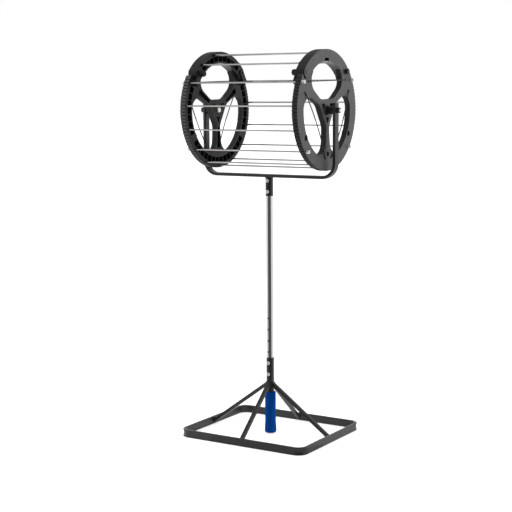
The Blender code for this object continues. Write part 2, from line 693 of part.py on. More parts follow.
def disc(side, sign):
    """A drum disc with its lid brackets, made in the drum's own frame."""
    loops = [rim_outline()]
    loops += [opening_outline(120.0 * k, k > 0) for k in range(3)]
    loops += [window_outline(60.0 + 120.0 * k) for k in range(3)]
    loops.append(circle(BORE_RADIUS, 14))
    body = add("disc_" + side, prism_mesh("disc_" + side, "X", loops, sign * DISC_IN, sign * DISC_OUT),
               "plastic", drum)
    over = 0.002
    gap = bmesh.new()
    prism(gap, "X", [lid_cutter_outline()], sign * (DISC_IN - over), sign * (DISC_OUT + over))
    for angle in PLAIN_ROD_ANGLES + TIE_ROD_ANGLES:
        depth = DISC_OUT + over if angle in TIE_ROD_ANGLES else DISC_IN + ROD_SEAT_DEPTH
        seat = (ROD_DIAMETER / 2 + GAP) / math.cos(math.pi / 8)
        turned(gap, "X", [(sign * (DISC_IN - over), 0), (sign * (DISC_IN - over), seat),
                          (sign * depth, seat), (sign * depth, 0)], 8,
               polar(ROD_CIRCLE_RADIUS, angle))
    for k in range(3):
        for end in (-1, 1):
            turned(gap, "X", [(sign * (DISC_OUT - WIRE_SEAT), 0),
                              (sign * (DISC_OUT - WIRE_SEAT), WIRE_DIAMETER / 2 + 2 * GAP),
                              (sign * (DISC_OUT + over), WIRE_DIAMETER / 2 + 2 * GAP),
                              (sign * (DISC_OUT + over), 0)], 8,
                   polar(WIRE_END_RADIUS, 120.0 * k + end * WIRE_HALF_SPAN_DEG))
    for angle in (120.0, 240.0):
        turned(gap, "X", [(sign * (DISC_OUT - RECESS_DEPTH), STUD_DIAMETER / 2),
                          (sign * (DISC_OUT - RECESS_DEPTH), STUD_RECESS_DIAMETER / 2),
                          (sign * (DISC_OUT + over), STUD_RECESS_DIAMETER / 2),
                          (sign * (DISC_OUT + over), STUD_DIAMETER / 2)], 16,
               polar(STUD_CIRCLE_RADIUS, angle), tube=True)
    oval = [(a * OVAL_WIDTH / 2, -OVAL_RADIUS_POS + b * OVAL_HEIGHT / 2) for a, b in circle(1.0, 14)]
    prism(gap, "X", [oval], sign * (DISC_OUT - RECESS_DEPTH), sign * (DISC_OUT + over))
    boolean(body, to_mesh(gap, "disc_gap"))
    joins = bmesh.new()
    far = LID_IN - GAP
    for end_deg, end_sign in ((LID_FRONT_DEG, 1), (LID_REAR_DEG, -1)):
        prism(joins, "X", [bracket_outline(end_deg, end_sign, False)],
              sign * (far - 0.5 * BRACKET_THICKNESS), sign * (DISC_IN + over))
    boolean(body, to_mesh(joins, "bracket_roots"), "UNION")
    plates = bmesh.new()
    for end_deg, end_sign, pin in ((LID_FRONT_DEG, 1, PIVOT_DIAMETER),
                                   (LID_REAR_DEG, -1, LATCH_PIN_DIAMETER)):
        hole = circle(pin / 2 + GAP, 12, polar(LID_MID_RADIUS, end_deg))
        prism(plates, "X", [bracket_outline(end_deg, end_sign, True), hole],
              sign * (far - BRACKET_THICKNESS), sign * far)
    boolean(body, to_mesh(plates, "bracket_plates"), "UNION")


disc("right", 1)
disc("left", -1)


# Fixed rods: plain ones seated in both discs, tie rods that run through with a cap nut
def rod_mesh(name, half_length):
    radius = ROD_DIAMETER / 2
    return turned_mesh(name, "X", [(-half_length, 0), (-half_length, radius), (half_length, radius),
                                   (half_length, 0)], 10)


plain_rod = rod_mesh("plain_rod", DISC_IN + ROD_SEAT_DEPTH - GAP)
tie_rod = rod_mesh("tie_rod", DISC_OUT + GAP + NUT_LENGTH - NUT_CAP - GAP)
for count, angle in enumerate(PLAIN_ROD_ANGLES, 1):
    y, z = polar(ROD_CIRCLE_RADIUS, angle)
    add("rod_%02d" % count, plain_rod, "steel", drum, (0, y, z))
for count, angle in enumerate(TIE_ROD_ANGLES, 1):
    y, z = polar(ROD_CIRCLE_RADIUS, angle)
    add("tie_rod_%d" % count, tie_rod, "steel", drum, (0, y, z))


def cap_nut(sign):
    """A six-sided nut with a domed cap that hides the end of a tie rod."""
    outer = NUT_ACROSS / 2 / math.cos(math.pi / 6)
    bore = (ROD_DIAMETER / 2 + GAP) / math.cos(math.pi / 6)
    near = DISC_OUT + GAP
    far = near + NUT_LENGTH
    profile = [(far, 0), (far, 0.35 * outer), (far - 0.1 * NUT_LENGTH, 0.75 * outer),
               (far - 0.3 * NUT_LENGTH, outer), (near, outer), (near, bore), (far - NUT_CAP, bore),
               (far - NUT_CAP, 0)]
    return turned_mesh("cap_nut", "X", [(sign * a, r) for a, r in profile], 6)


for side, sign in (("right", 1), ("left", -1)):
    nut_mesh = cap_nut(sign)
    for count, angle in enumerate(TIE_ROD_ANGLES, 1):
        y, z = polar(ROD_CIRCLE_RADIUS, angle)
        add("tie_nut_%s_%d" % (side, count), nut_mesh, "zinc", drum, (0, y, z))

# Guard wires: one bowed wire across each opening of each disc
def guard_wire(name, sign, middle_deg):
    end = polar(WIRE_END_RADIUS, middle_deg + WIRE_HALF_SPAN_DEG)
    start = polar(WIRE_END_RADIUS, middle_deg - WIRE_HALF_SPAN_DEG)
    lift = WIRE_DIAMETER / 2 + GAP
    bend = 0.003
    length = math.dist(start, end)
    stations = [(0.0, DISC_OUT - WIRE_SEAT + GAP), (0.0, DISC_OUT), (0.35 * bend, DISC_OUT + 0.7 * lift),
                (bend, DISC_OUT + lift)]
    middle = []
    for k in range(1, 10):
        t = k / 10
        middle.append((bend + (length - 2 * bend) * t,
                       DISC_OUT + lift + WIRE_BOW * math.sin(math.pi * t)))
    stations += middle + [(length - a, x) for a, x in reversed(stations)]
    curve = bpy.data.curves.new(name, "CURVE")
    curve.dimensions = "3D"
    curve.bevel_depth = WIRE_DIAMETER / 2
    curve.bevel_resolution = 1
    curve.use_fill_caps = True
    line = curve.splines.new("POLY")
    line.points.add(len(stations) - 1)
    for point, (along, x) in zip(line.points, stations):
        t = along / length
        point.co = (sign * x, start[0] + (end[0] - start[0]) * t, start[1] + (end[1] - start[1]) * t, 1)
    wire = bpy.data.objects.new(name, curve)
    bpy.context.collection.objects.link(wire)
    wire.parent = drum
    curve.materials.append(material(name, *LOOKS["black"]))


for side, sign in (("right", 1), ("left", -1)):
    for k in range(3):
        guard_wire("guard_wire_%s_%d" % (side, k + 1), sign, 120.0 * k)


# Lid pivots: pins through the front brackets and the lid, with a long knob inside
def lid_pivot(side, sign):
    pin = PIVOT_DIAMETER / 2
    knob = PIVOT_KNOB_DIAMETER / 2
    button = PIVOT_BUTTON_DIAMETER / 2
    seat = LID_IN - 2 * GAP - BRACKET_THICKNESS
    inner = seat - PIVOT_KNOB_LENGTH
    face = DISC_OUT + GAP
    profile = [(inner, 0), (inner, knob - 0.0015), (inner + 0.0015, knob), (seat, knob), (seat, pin),
               (face, pin), (face, button), (face + PIVOT_BUTTON_HEIGHT, button - 0.0004),
               (face + PIVOT_BUTTON_HEIGHT, 0)]
    bm = bmesh.new()
    turned(bm, "X", [(sign * a, r) for a, r in profile], 16, polar(LID_MID_RADIUS, LID_FRONT_DEG))
    add("lid_pivot_" + side, to_mesh(bm, "lid_pivot"), "black", drum)


lid_pivot("right", 1)
lid_pivot("left", -1)

# Lid: two ring segments and four rods that swing up about the front pivots
pivot_y, pivot_z = polar(LID_MID_RADIUS, LID_FRONT_DEG)
lid = empty("lid", (0, pivot_y, pivot_z), drum)


def from_pivot(point):
    return (point[0] - pivot_y, point[1] - pivot_z)


def pocket_outline(middle_deg):
    half = (RIB_PITCH_DEG - math.degrees(RIB_THICKNESS / POCKET_OUTER_RADIUS)) / 2
    return [from_pivot(polar(r, middle_deg + a)) for r, a in
            ((POCKET_OUTER_RADIUS, -half), (POCKET_OUTER_RADIUS, half),
             (POCKET_INNER_RADIUS, half), (POCKET_INNER_RADIUS, -half))]


def lid_arc(side, sign):
    hole = circle(PIVOT_DIAMETER / 2 + GAP, 12)
    latch = from_pivot(polar(LID_MID_RADIUS, LID_REAR_DEG))
    pin_hole = circle(LATCH_PIN_DIAMETER / 2 + GAP, 12, latch)
    loops = [[from_pivot(p) for p in lid_outline()], hole, pin_hole]
    body = add("lid_arc_" + side, prism_mesh("lid_arc_" + side, "X", loops, sign * LID_IN, sign * LID_OUT),
               "plastic", lid)
    bosses = bmesh.new()
    for angle in LID_ROD_ANGLES:
        profile = [(LID_IN - LID_BOSS_HEIGHT, 0), (LID_IN - LID_BOSS_HEIGHT, LID_ROD_BOSS / 2),
                   (LID_IN + 0.002, LID_ROD_BOSS / 2), (LID_IN + 0.002, 0)]
        turned(bosses, "X", [(sign * a, r) for a, r in profile], 12,
               from_pivot(polar(ROD_CIRCLE_RADIUS, angle)))
    boolean(body, to_mesh(bosses, "lid_bosses"), "UNION")
    cuts = bmesh.new()
    count = int((LID_FRONT_DEG - LID_REAR_DEG - 14) / RIB_PITCH_DEG)
    middle = (LID_FRONT_DEG + LID_REAR_DEG) / 2
    for k in range(count):
        angle = middle + (k - (count - 1) / 2) * RIB_PITCH_DEG
        prism(cuts, "X", [pocket_outline(angle)], sign * (LID_IN - 0.002), sign * (LID_IN + POCKET_DEPTH))
    low = LID_SLOT_RADIUS_POS - LID_SLOT_HEIGHT / 2
    high = LID_SLOT_RADIUS_POS + LID_SLOT_HEIGHT / 2
    half = LID_SLOT_WIDTH / 2
    slot = [from_pivot(p) for p in ((-half, low), (half, low), (half, high), (-half, high))]
    prism(cuts, "X", [slot], sign * (LID_OUT - RECESS_DEPTH), sign * (LID_OUT + 0.002))
    seat = (ROD_DIAMETER / 2 + GAP) / math.cos(math.pi / 8)
    for angle in LID_ROD_ANGLES:
        profile = [(LID_IN - 2 * LID_BOSS_HEIGHT, 0), (LID_IN - 2 * LID_BOSS_HEIGHT, seat),
                   (LID_IN + ROD_SEAT_DEPTH, seat), (LID_IN + ROD_SEAT_DEPTH, 0)]
        turned(cuts, "X", [(sign * a, r) for a, r in profile], 8,
               from_pivot(polar(ROD_CIRCLE_RADIUS, angle)))
    boolean(body, to_mesh(cuts, "lid_cuts"))


lid_arc("right", 1)
lid_arc("left", -1)
lid_rod = rod_mesh("lid_rod", LID_IN + ROD_SEAT_DEPTH - GAP)
for count, angle in enumerate(LID_ROD_ANGLES, 1):
    y, z = from_pivot(polar(ROD_CIRCLE_RADIUS, angle))
    add("lid_rod_%d" % count, lid_rod, "steel", lid, (0, y, z))


# Latches: knobs on the lid's rear ends that pull outwards
def latch(side, sign):
    y, z = from_pivot(polar(LID_MID_RADIUS, LID_REAR_DEG))
    holder = empty("latch_" + side, (0, y, z), lid)
    pin = LATCH_PIN_DIAMETER / 2
    knob = LATCH_KNOB_DIAMETER / 2
    face = DISC_OUT + GAP
    top = face + LATCH_KNOB_HEIGHT
    profile = [(LID_IN, 0), (LID_IN, pin), (face, pin), (face, 0.8 * knob), (face + 0.002, 0.8 * knob),
               (face + 0.003, knob), (top - 0.001, knob), (top, knob - 0.001), (top, 0)]
    mesh = turned_mesh("latch_knob", "X", [(sign * a, r) for a, r in profile], 16)
    add("latch_knob_" + side, mesh, "black", holder)


latch("right", 1)
latch("left", -1)
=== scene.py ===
"""Looks of the tennis ball picker: a toothed cage drum on a fork, a pole, a grip and a base ring.

Metres, +Z up, in the same frame as the solids. X runs along the drum's axle, and -Y is the side with
the screw heads and the lid's pivots. Angles on the drum are degrees from the lid's middle towards -Y.
"""

import math

import bmesh
import bpy
from mathutils import Matrix, Vector


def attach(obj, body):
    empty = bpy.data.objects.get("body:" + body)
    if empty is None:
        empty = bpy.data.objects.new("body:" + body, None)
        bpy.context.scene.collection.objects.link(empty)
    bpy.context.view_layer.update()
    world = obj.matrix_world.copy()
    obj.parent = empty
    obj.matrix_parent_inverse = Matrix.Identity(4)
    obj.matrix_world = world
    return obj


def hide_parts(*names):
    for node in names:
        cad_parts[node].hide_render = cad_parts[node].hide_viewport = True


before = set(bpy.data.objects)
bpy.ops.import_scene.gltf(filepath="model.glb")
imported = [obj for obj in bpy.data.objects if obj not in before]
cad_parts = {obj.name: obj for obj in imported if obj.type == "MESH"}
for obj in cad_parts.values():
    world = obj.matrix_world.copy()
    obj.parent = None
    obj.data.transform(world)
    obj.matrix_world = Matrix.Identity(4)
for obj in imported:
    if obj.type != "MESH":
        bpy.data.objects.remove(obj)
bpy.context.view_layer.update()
scene = bpy.context.scene

# Sizes that several pieces share, the same as the solids
PLAY = 0.0003             # between pieces that pass through or move past one another
SEAT = 0.0002             # between a nut, a knob or a strut's end and the face next to it
AXLE_HEIGHT = 0.8416
AXLE_BORE = 0.0043
DRUM_TURN = 1.25          # how far the drum rests turned towards the front
DISC_RADIUS = 0.1500
DISC_OUT = 0.16995        # the discs' outer faces
DISC_IN = 0.15505
POCKET_DEPTH = 0.009
STUD_CIRCLE = 0.1255
OPENING_ANGLES = (0.0, 120.0, 240.0)
SPOKE_ANGLES = (60.0, 180.0, 300.0)
STUD_ANGLES = OPENING_ANGLES[1:]
GUARD_CIRCLE = 0.1195     # where the ends of the guard wires are
GUARD_ANGLE = 52.5        # from the middle of the wire's opening
ROD_CIRCLE = 0.1436
ROD_DIAMETER = 0.004
ROD_STEP = 24.0
CAGE_RODS = 11            # of the drum, without the lid's
LID_RODS = 4
ROD_SEAT = 0.0077         # how deep a rod goes into its side
FIRST_CAGE_ROD = 60.0
FIRST_LID_ROD = -36.0
LID_INNER = 0.1202
LID_OUTER = 0.1498
LID_MID = (LID_INNER + LID_OUTER) / 2
LID_END = (LID_OUTER - LID_INNER) / 2
LID_PLAY = 0.0004         # between the lid's edge and the edge of the disc's gap
LID_OUT = 0.16965
LID_IN = 0.14465
LID_FRONT = 45.5          # the pivots' angle
LID_REAR = -46.0          # the latches' angle
PIVOT_BORE = 0.0032
LATCH_BORE = 0.0027
BRACKET_EYE = 0.004       # thickness of the brackets' eyes
EAR_TIP = 35.0            # the disc's ears reach in under the lid to this angle on both sides
RIB = 0.0018
RIB_CIRCLE = 0.1386
RIB_ANGLE = math.degrees(RIB / RIB_CIRCLE)
BAR_LONG = 0.0200         # the flat tube of the fork and of the base ring
BAR_THICK = 0.0080
BAR_EDGE = 0.0020
ARM_IN = 0.18875
ARM_OUT = ARM_IN + BAR_THICK
FORK_BOTTOM = 0.6709
POLE_RADIUS = 0.0089
POLE_BOTTOM = 0.1455
LOW_HOLE = 0.1575
HOLE_PITCH = 0.0295
TUBE_RADIUS = 0.01005
TUBE_TOP = 0.2011
SOCKET_RADIUS = 0.0099
RING_LENGTH = 0.3704
RING_WIDTH = 0.3084
SIDES = (("right", 1), ("left", -1))    # with the sign of X, called the hand below
NOTHING = 1e-9            # shorter than this counts as zero
TOUCHING = 1e-6           # points nearer than this are one


# Small drawing kit
def around(radius, degrees):
    """(y, z) on a drum disc."""
    a = math.radians(degrees + DRUM_TURN)
    return (-radius * math.sin(a), AXLE_HEIGHT + radius * math.cos(a))


def on_disc(points, degrees):
    """Outline points given (across, up) from the axle, turned about it."""
    a = math.radians(degrees + DRUM_TURN)
    return [(-(x * math.cos(a) + y * math.sin(a)), AXLE_HEIGHT + y * math.cos(a) - x * math.sin(a))
            for x, y in points]


def quarter(steps, first=0):
    """(sine, cosine) at even steps of a right angle."""
    turns = [math.radians(90 * k / steps) for k in range(first, steps + 1)]
    return [(math.sin(turn), math.cos(turn)) for turn in turns]


def eased(value, low, high):
    """0 below low and 1 above high, with a soft start and end between them."""
    t = max(0.0, min(1.0, (value - low) / (high - low)))
    return t * t * (3 - 2 * t)


def circle(radius, sides, centre=(0.0, 0.0)):
    return [(centre[0] + radius * math.cos(2 * math.pi * k / sides),
             centre[1] + radius * math.sin(2 * math.pi * k / sides)) for k in range(sides)]


def rounded(corners, radius, steps):
    """The outline through the corners with an arc at each of them."""
    outline = []
    count = len(corners)
    for k in range(count):
        here = Vector(corners[k])
        back = (Vector(corners[k - 1]) - here).normalized()
        ahead = (Vector(corners[(k + 1) % count]) - here).normalized()
        half = back.angle(ahead) / 2
        centre = here + (back + ahead).normalized() * (radius / math.sin(half))
        first = here + back * (radius / math.tan(half)) - centre
        turn = first.angle_signed(here + ahead * (radius / math.tan(half)) - centre)
        for step in range(steps + 1):
            a = -turn * step / steps
            outline.append((centre.x + first.x * math.cos(a) - first.y * math.sin(a),
                            centre.y + first.x * math.sin(a) + first.y * math.cos(a)))
    return outline


def area_of(loop):
    """Above zero for a loop that turns left."""
    return 0.5 * sum(a[0] * b[1] - b[0] * a[1] for a, b in zip(loop, loop[1:] + loop[:1]))


def shrunk(loop, by, hole=False):
    """The loop moved into the material by a small step along its corner normals."""
    sign = 1.0 if (area_of(loop) > 0) != hole else -1.0
    moved = []
    count = len(loop)
    for k in range(count):
        a = Vector(loop[k - 1])
        b = Vector(loop[k])
        c = Vector(loop[(k + 1) % count])
        one = (b - a).normalized()
        two = (c - b).normalized()
        normal = Vector((-one.y - two.y, one.x + two.x))
        if normal.length < TOUCHING:
            normal = Vector((-one.y, one.x))
        normal.normalize()
        reach = by / max(0.5, normal.dot(Vector((-one.y, one.x))))
        moved.append(tuple(b + normal * sign * reach))
    return moved


def spot(axis, along, across, up):
    """The point (x, y, z) from its place along an axis and its two places across it."""
    if axis == "X":
        return (along, across, up)
    if axis == "Y":
        return (across, along, up)
    return (across, up, along)


def ring_of(bm, axis, along, loop):
    return [bm.verts.new(spot(axis, along, a, b)) for a, b in loop]


def bridge(bm, one, two):
    """Faces between two rings with as many points."""
    count = len(one)
    for k in range(count):
        bm.faces.new((one[k], one[(k + 1) % count], two[(k + 1) % count], two[k]))


def join_up(bm, rings):
    for one, two in zip(rings, rings[1:]):
        bridge(bm, one, two)


def fill(bm, loops):
    """A flat face of triangles inside the first loop and outside the others."""
    edges = []
    for loop in loops:
        for k in range(len(loop)):
            pair = (loop[k], loop[(k + 1) % len(loop)])
            edge = bm.edges.get(pair)
            edges.append(edge if edge else bm.edges.new(pair))
    bmesh.ops.triangle_fill(bm, edges=edges, use_beauty=True)


def plate(bm, axis, outer, holes, start, end, edge=0.0004, pockets=(), back_pockets=()):
    """A flat part with rounded edges; pockets are (outline, depth) in the end face."""
    step = 1 if end > start else -1
    bend = [(0.0, 1.0), (0.293, 0.293), (1.0, 0.0)]
    pocket_edge = min(edge, 0.0003)
    caps = {start: [], end: []}
    for loop, hole in [(outer, False)] + [(h, True) for h in holes]:
        rings = [ring_of(bm, axis, start + step * edge * a, shrunk(loop, edge * b, hole)) for a, b in bend]
        rings += [ring_of(bm, axis, end - step * edge * a, shrunk(loop, edge * b, hole))
                  for a, b in reversed(bend)]
        join_up(bm, rings)
        caps[start].append(rings[0])
        caps[end].append(rings[-1])
    for face, inward, group in ((end, -step, pockets), (start, step, back_pockets)):
        for outline, depth in group:
            rings = [ring_of(bm, axis, face, shrunk(outline, pocket_edge, True)),
                     ring_of(bm, axis, face + inward * pocket_edge, outline),
                     ring_of(bm, axis, face + inward * depth, outline)]
            join_up(bm, rings)
            caps[face].append(rings[0])
            fill(bm, [rings[-1]])
    fill(bm, caps[start])
    fill(bm, caps[end])


def lathe(bm, axis, profile, sides, centre=(0.0, 0.0), closed=False):
    """Turn (along, radius) points round an axis."""
    rings = []
    for along, radius in profile:
        if radius < NOTHING:
            rings.append([bm.verts.new(spot(axis, along, centre[0], centre[1]))])
        else:
            rings.append(ring_of(bm, axis, along, circle(radius, sides, centre)))
    pairs = list(zip(rings, rings[1:]))
    if closed:
        pairs.append((rings[-1], rings[0]))
    for one, two in pairs:
        for k in range(sides):
            n = (k + 1) % sides
            if len(one) == 1:
                bm.faces.new((one[0], two[n], two[k]))
            elif len(two) == 1:
                bm.faces.new((one[k], one[n], two[0]))
            else:
                bm.faces.new((one[k], one[n], two[n], two[k]))


def turned(bm, side, profile, sides, centre, closed=False):
    """Turn (distance from the middle, radius) points round a line along X, on one side."""
    lathe(bm, "X", [(side * along, radius) for along, radius in profile], sides, centre, closed)


def socket_head(bm, axis, profile, sides, key_radius, key_depth):
    """A turned part whose last face has a six-sided recess."""
    lip = 0.0001
    tip = bm.verts.new(spot(axis, profile[0][0], 0, 0))
    rings = [ring_of(bm, axis, along, circle(radius, sides)) for along, radius in profile[1:]]
    for k in range(sides):
        bm.faces.new((tip, rings[0][(k + 1) % sides], rings[0][k]))
    join_up(bm, rings)
    face = profile[-1][0]
    inward = 1 if profile[0][0] > face else -1
    key = [ring_of(bm, axis, face + inward * deep, circle(key_radius + wider, 6))
           for deep, wider in ((0.0, lip), (lip, 0.0), (key_depth, 0.0))]
    fill(bm, [rings[-1], key[0]])
    join_up(bm, key)
    bm.faces.new(key[-1])


def loft(bm, rings, closed=False):
    """A skin over rings of points, with flat ends unless it closes on itself."""
    loops = [[bm.verts.new(p) for p in ring] for ring in rings]
    join_up(bm, loops)
    if closed:
        bridge(bm, loops[-1], loops[0])
    else:
        bm.faces.new(loops[0])
        bm.faces.new(loops[-1])


def mesh_from(bm, name):
    bmesh.ops.recalc_face_normals(bm, faces=bm.faces)
    mesh = bpy.data.meshes.new(name)
    bm.to_mesh(mesh)
    bm.free()
    return mesh


def linked(name, data):
    """A new object in the scene."""
    obj = bpy.data.objects.new(name, data)
    scene.collection.objects.link(obj)
    return obj


def settled(obj):
    """The evaluated object as one plain mesh."""
    bpy.context.view_layer.update()
    graph = bpy.context.evaluated_depsgraph_get()
    made = bpy.data.meshes.new_from_object(obj.evaluated_get(graph), preserve_all_data_layers=True,
                                           depsgraph=graph)
    made.name = obj.name
    return made


def piece(name, made, finish, body, nodes, sharp=38.0, weighted=True):
    """A finished mesh, given as a mesh or a bmesh, that rides on a body and stands for solids."""
    mesh = made if isinstance(made, bpy.types.Mesh) else mesh_from(made, name)
    obj = linked(name, mesh)
    mesh.materials.clear()
    mesh.materials.append(finish)
    mesh.shade_smooth()
    mesh.set_sharp_from_angle(angle=math.radians(sharp))
    if weighted:
        even = obj.modifiers.new("even", "WEIGHTED_NORMAL")
        even.keep_sharp = True
        even.weight = 80
        obj.data = settled(obj)
        obj.modifiers.clear()
    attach(obj, body)
    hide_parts(*nodes)


# Camera, set from the discs, the rods, the fork and the base ring in the photograph
def add_camera():
    data = bpy.data.cameras.new("camera")
    data.sensor_width = 36.0
    data.lens = 89.297
    data.clip_start = 0.05
    data.clip_end = 60.0
    obj = linked("camera", data)
    right = Vector((0.84774, 0.53037, -0.00663))
    up = Vector((-0.06301, 0.11311, 0.99158))
    ahead = Vector((-0.52665, 0.84019, -0.12930))
    turn = Matrix((right, up, -ahead)).transposed().normalized()
    obj.rotation_mode = "QUATERNION"
    obj.rotation_quaternion = turn.to_quaternion()
    obj.location = (1.69649, -2.77291, 0.89141)
    scene.camera = obj


add_camera()


# Node trees
class NodeKit:
    """A short way to lay out the nodes of a tree."""

    def __init__(self, tree):
        self.tree = tree

    def feed(self, socket, value):
        """Link another socket, or set a plain value or a colour."""
        if isinstance(value, bpy.types.NodeSocket):
            self.tree.links.new(value, socket)
        elif socket.type == "RGBA":
            socket.default_value = (*value, 1.0)
        else:
            socket.default_value = value

    def node(self, kind, feeds=None, **settings):
        """A new node; feeds says what goes into its inputs, by their name or number."""
        made = self.tree.nodes.new(kind)
        for key, value in settings.items():
            setattr(made, key, value)
        for key, value in (feeds or {}).items():
            self.feed(made.inputs[key], value)
        return made

    def maths(self, operation, one, two=None):
        feeds = {0: one} if two is None else {0: one, 1: two}
        return self.node("ShaderNodeMath", feeds, operation=operation).outputs[0]

    def vector(self, operation, one, two=None, output="Vector"):
        feeds = {0: one} if two is None else {0: one, 1: two}
        return self.node("ShaderNodeVectorMath", feeds, operation=operation).outputs[output]

    def spread(self, value, low, high, to_low=0.0, to_high=1.0):
        """The stretch from low to high laid over another one, and held at its ends."""
        step = self.node("ShaderNodeMapRange", {"Value": value, "From Min": low, "From Max": high,
                                                "To Min": to_low, "To Max": to_high})
        return step.outputs["Result"]


class Shader(NodeKit):
    """A material whose patterns lie on Object coordinates."""

    def __init__(self, name, **values):
        self.mat = bpy.data.materials.new(name)
        self.mat.use_nodes = True
        super().__init__(self.mat.node_tree)
        self.base = self.tree.nodes["Principled BSDF"].inputs
        self.place = self.node("ShaderNodeTexCoord").outputs["Object"]
        for key, value in values.items():
            self.feed(self.base[key.replace("_", " ")], value)

    def noise(self, scale, detail, stretch=None):
        place = self.place
        if stretch:
            place = self.node("ShaderNodeMapping", {"Vector": place, "Scale": stretch}).outputs["Vector"]
        grain = self.node("ShaderNodeTexNoise", {"Vector": place, "Scale": scale, "Detail": detail})
        return grain.outputs["Fac"]

    def cloud(self, scale, detail, to_low=0.0, to_high=1.0, tail=0.3):
        """Noise without its tails, spread over the given values."""
        return self.spread(self.noise(scale, detail), tail, 1.0 - tail, to_low, to_high)

    def between(self, share, first, second):
        """A colour between two, each a tone or a socket."""
        return self.node("ShaderNodeMix", {0: share, 6: first, 7: second}, data_type="RGBA").outputs[2]

    def reach(self, across, centre):
        """The distance from an axis; across has a 0 along it, and the centre lies on it."""
        return self.vector("DISTANCE", self.vector("MULTIPLY", self.place, across), centre, "Value")

    def done(self, colour, rough, relief, depth):
        """The material with its colour, its roughness and its fine relief linked."""
        lift = self.node("ShaderNodeBump", {"Height": relief, "Distance": depth, "Strength": 1.0})
        self.feed(self.base["Base Color"], colour)
        self.feed(self.base["Roughness"], rough)
        self.feed(self.base["Normal"], lift.outputs["Normal"])
        return self.mat


# Finishes
def satin_paint():
    """Black powder coat with a thin gloss on it."""
    look = Shader("satin black paint", Metallic=0.0, Coat_Weight=0.35, Coat_Roughness=0.10)
    colour = look.between(look.cloud(35.0, 3.0, tail=0.35), (0.012, 0.012, 0.0125), (0.017, 0.017, 0.0175))
    return look.done(colour, look.cloud(60.0, 4.0, 0.36, 0.46), look.noise(900.0, 2.0), 0.00006)


def moulded_plastic(name, dark, light, rough):
    """Plastic or coating, softly uneven between two tones, with a fine grain."""
    look = Shader(name, Metallic=0.0, Specular_IOR_Level=0.45)
    return look.done(look.between(look.cloud(24.0, 4.0), dark, light),
                     look.cloud(120.0, 3.0, rough - 0.04, rough + 0.05), look.noise(2600.0, 3.0), 0.00005)


def moulded_disc():
    """Finely textured. The outer faces are painted grey as painted light; other faces and recesses stay
    black, as painted shade; the teeth tops are painted lighter on the left disc and darker on the right.
    """
    # grey: painted light on the outer faces; black: painted shade on rim, walls, inner faces and recesses
    black = ((0.0085, 0.0085, 0.0090), (0.0125, 0.0125, 0.0130))
    grey = ((0.0540, 0.0545, 0.0570), (0.0640, 0.0645, 0.0670))
    # the teeth tops: painted light on the left disc, painted shade on the right disc
    lit_teeth_left = (0.0620, 0.0625, 0.0660)
    shaded_teeth_right = (0.0200, 0.0200, 0.0210)
    inside_rougher = 0.16    # added to the roughness everywhere but on the outer faces
    wall_gloss = 0.22        # the inner wall of the lid has this share of its roughness
    look = Shader("textured grey plastic", Metallic=0.0, Specular_IOR_Level=0.5)
    normal = look.node("ShaderNodeNewGeometry").outputs["Normal"]
    facing = look.node("ShaderNodeSeparateXYZ", {0: normal}).outputs["X"]
    along = look.node("ShaderNodeSeparateXYZ", {0: look.place}).outputs["X"]
    outward = look.maths("MULTIPLY", facing, look.maths("SIGN", along))
    # mask of the outer faces, which get the painted light; deeper than 1.2 mm they stay black as painted
    # shade
    outside = look.spread(look.maths("ABSOLUTE", along), DISC_OUT - 0.0020, DISC_OUT - 0.0012)
    face = look.maths("MULTIPLY", look.spread(outward, 0.80, 0.97), outside)
    reach = look.reach((0.0, 1.0, 1.0), (0.0, 0.0, AXLE_HEIGHT))
    tooth = look.spread(reach, DISC_RADIUS - 0.00016, DISC_RADIUS - 0.00010)
    past_inner = look.spread(reach, LID_INNER - 0.0010, LID_INNER - 0.0005)
    lid_wall = look.maths("MULTIPLY", past_inner,
                          look.spread(reach, LID_INNER + 0.0003, LID_INNER + 0.0006, 1.0, 0.0))
    cloud = look.cloud(24.0, 4.0)
    # painted light on the left disc's teeth tops, painted shade on the right disc's
    teeth_light_and_shade = look.between(look.spread(along, -0.01, 0.01), lit_teeth_left, shaded_teeth_right)
    inside = look.between(tooth, look.between(cloud, *black), teeth_light_and_shade)
    colour = look.between(face, inside, look.between(cloud, *grey))
    rougher = look.spread(face, 0.0, 1.0, inside_rougher, 0.0)
    rough = look.maths("ADD", look.cloud(120.0, 3.0, 0.40, 0.48), rougher)
    rough = look.maths("MULTIPLY", rough, look.spread(lid_wall, 0.0, 1.0, 1.0, wall_gloss))
    return look.done(colour, rough, look.noise(2600.0, 3.0), 0.00005)


def drawn_metal(name, tone, rough, stretch, scale=300.0, depth=0.00001, metal=1.0):
    """Bright metal with fine marks, longest where stretch is smallest."""
    look = Shader(name, Metallic=metal)
    duller = tuple(0.9 * c for c in tone)
    marks = look.noise(scale, 3.0, stretch)
    return look.done(look.between(look.cloud(40.0, 2.0, tail=0.35), duller, tone),
                     look.spread(marks, 0.3, 0.7, rough - 0.05, rough + 0.06), marks, depth)


def polished_pole():
    """Bright plate outside; the bore and the walls of the holes are painted nearly black as painted shade.
    """
    look = Shader("polished pole", Metallic=1.0)
    reach = look.reach((1.0, 1.0, 0.0), (0.0, 0.0, 0.0))
    outside = look.spread(reach, POLE_RADIUS - 0.0004, POLE_RADIUS - 0.0002)
    marks = look.noise(400.0, 3.0, (1.0, 1.0, 0.05))
    plate_tone = look.between(look.cloud(40.0, 2.0, tail=0.35), (0.77, 0.77, 0.78), (0.80, 0.80, 0.81))
    # painted shade: nearly black in the bore and in the holes' walls, inside the outer skin
    return look.done(look.between(outside, (0.02, 0.02, 0.02), plate_tone),
                     look.spread(marks, 0.3, 0.7, 0.04, 0.15), marks, 0.000004)


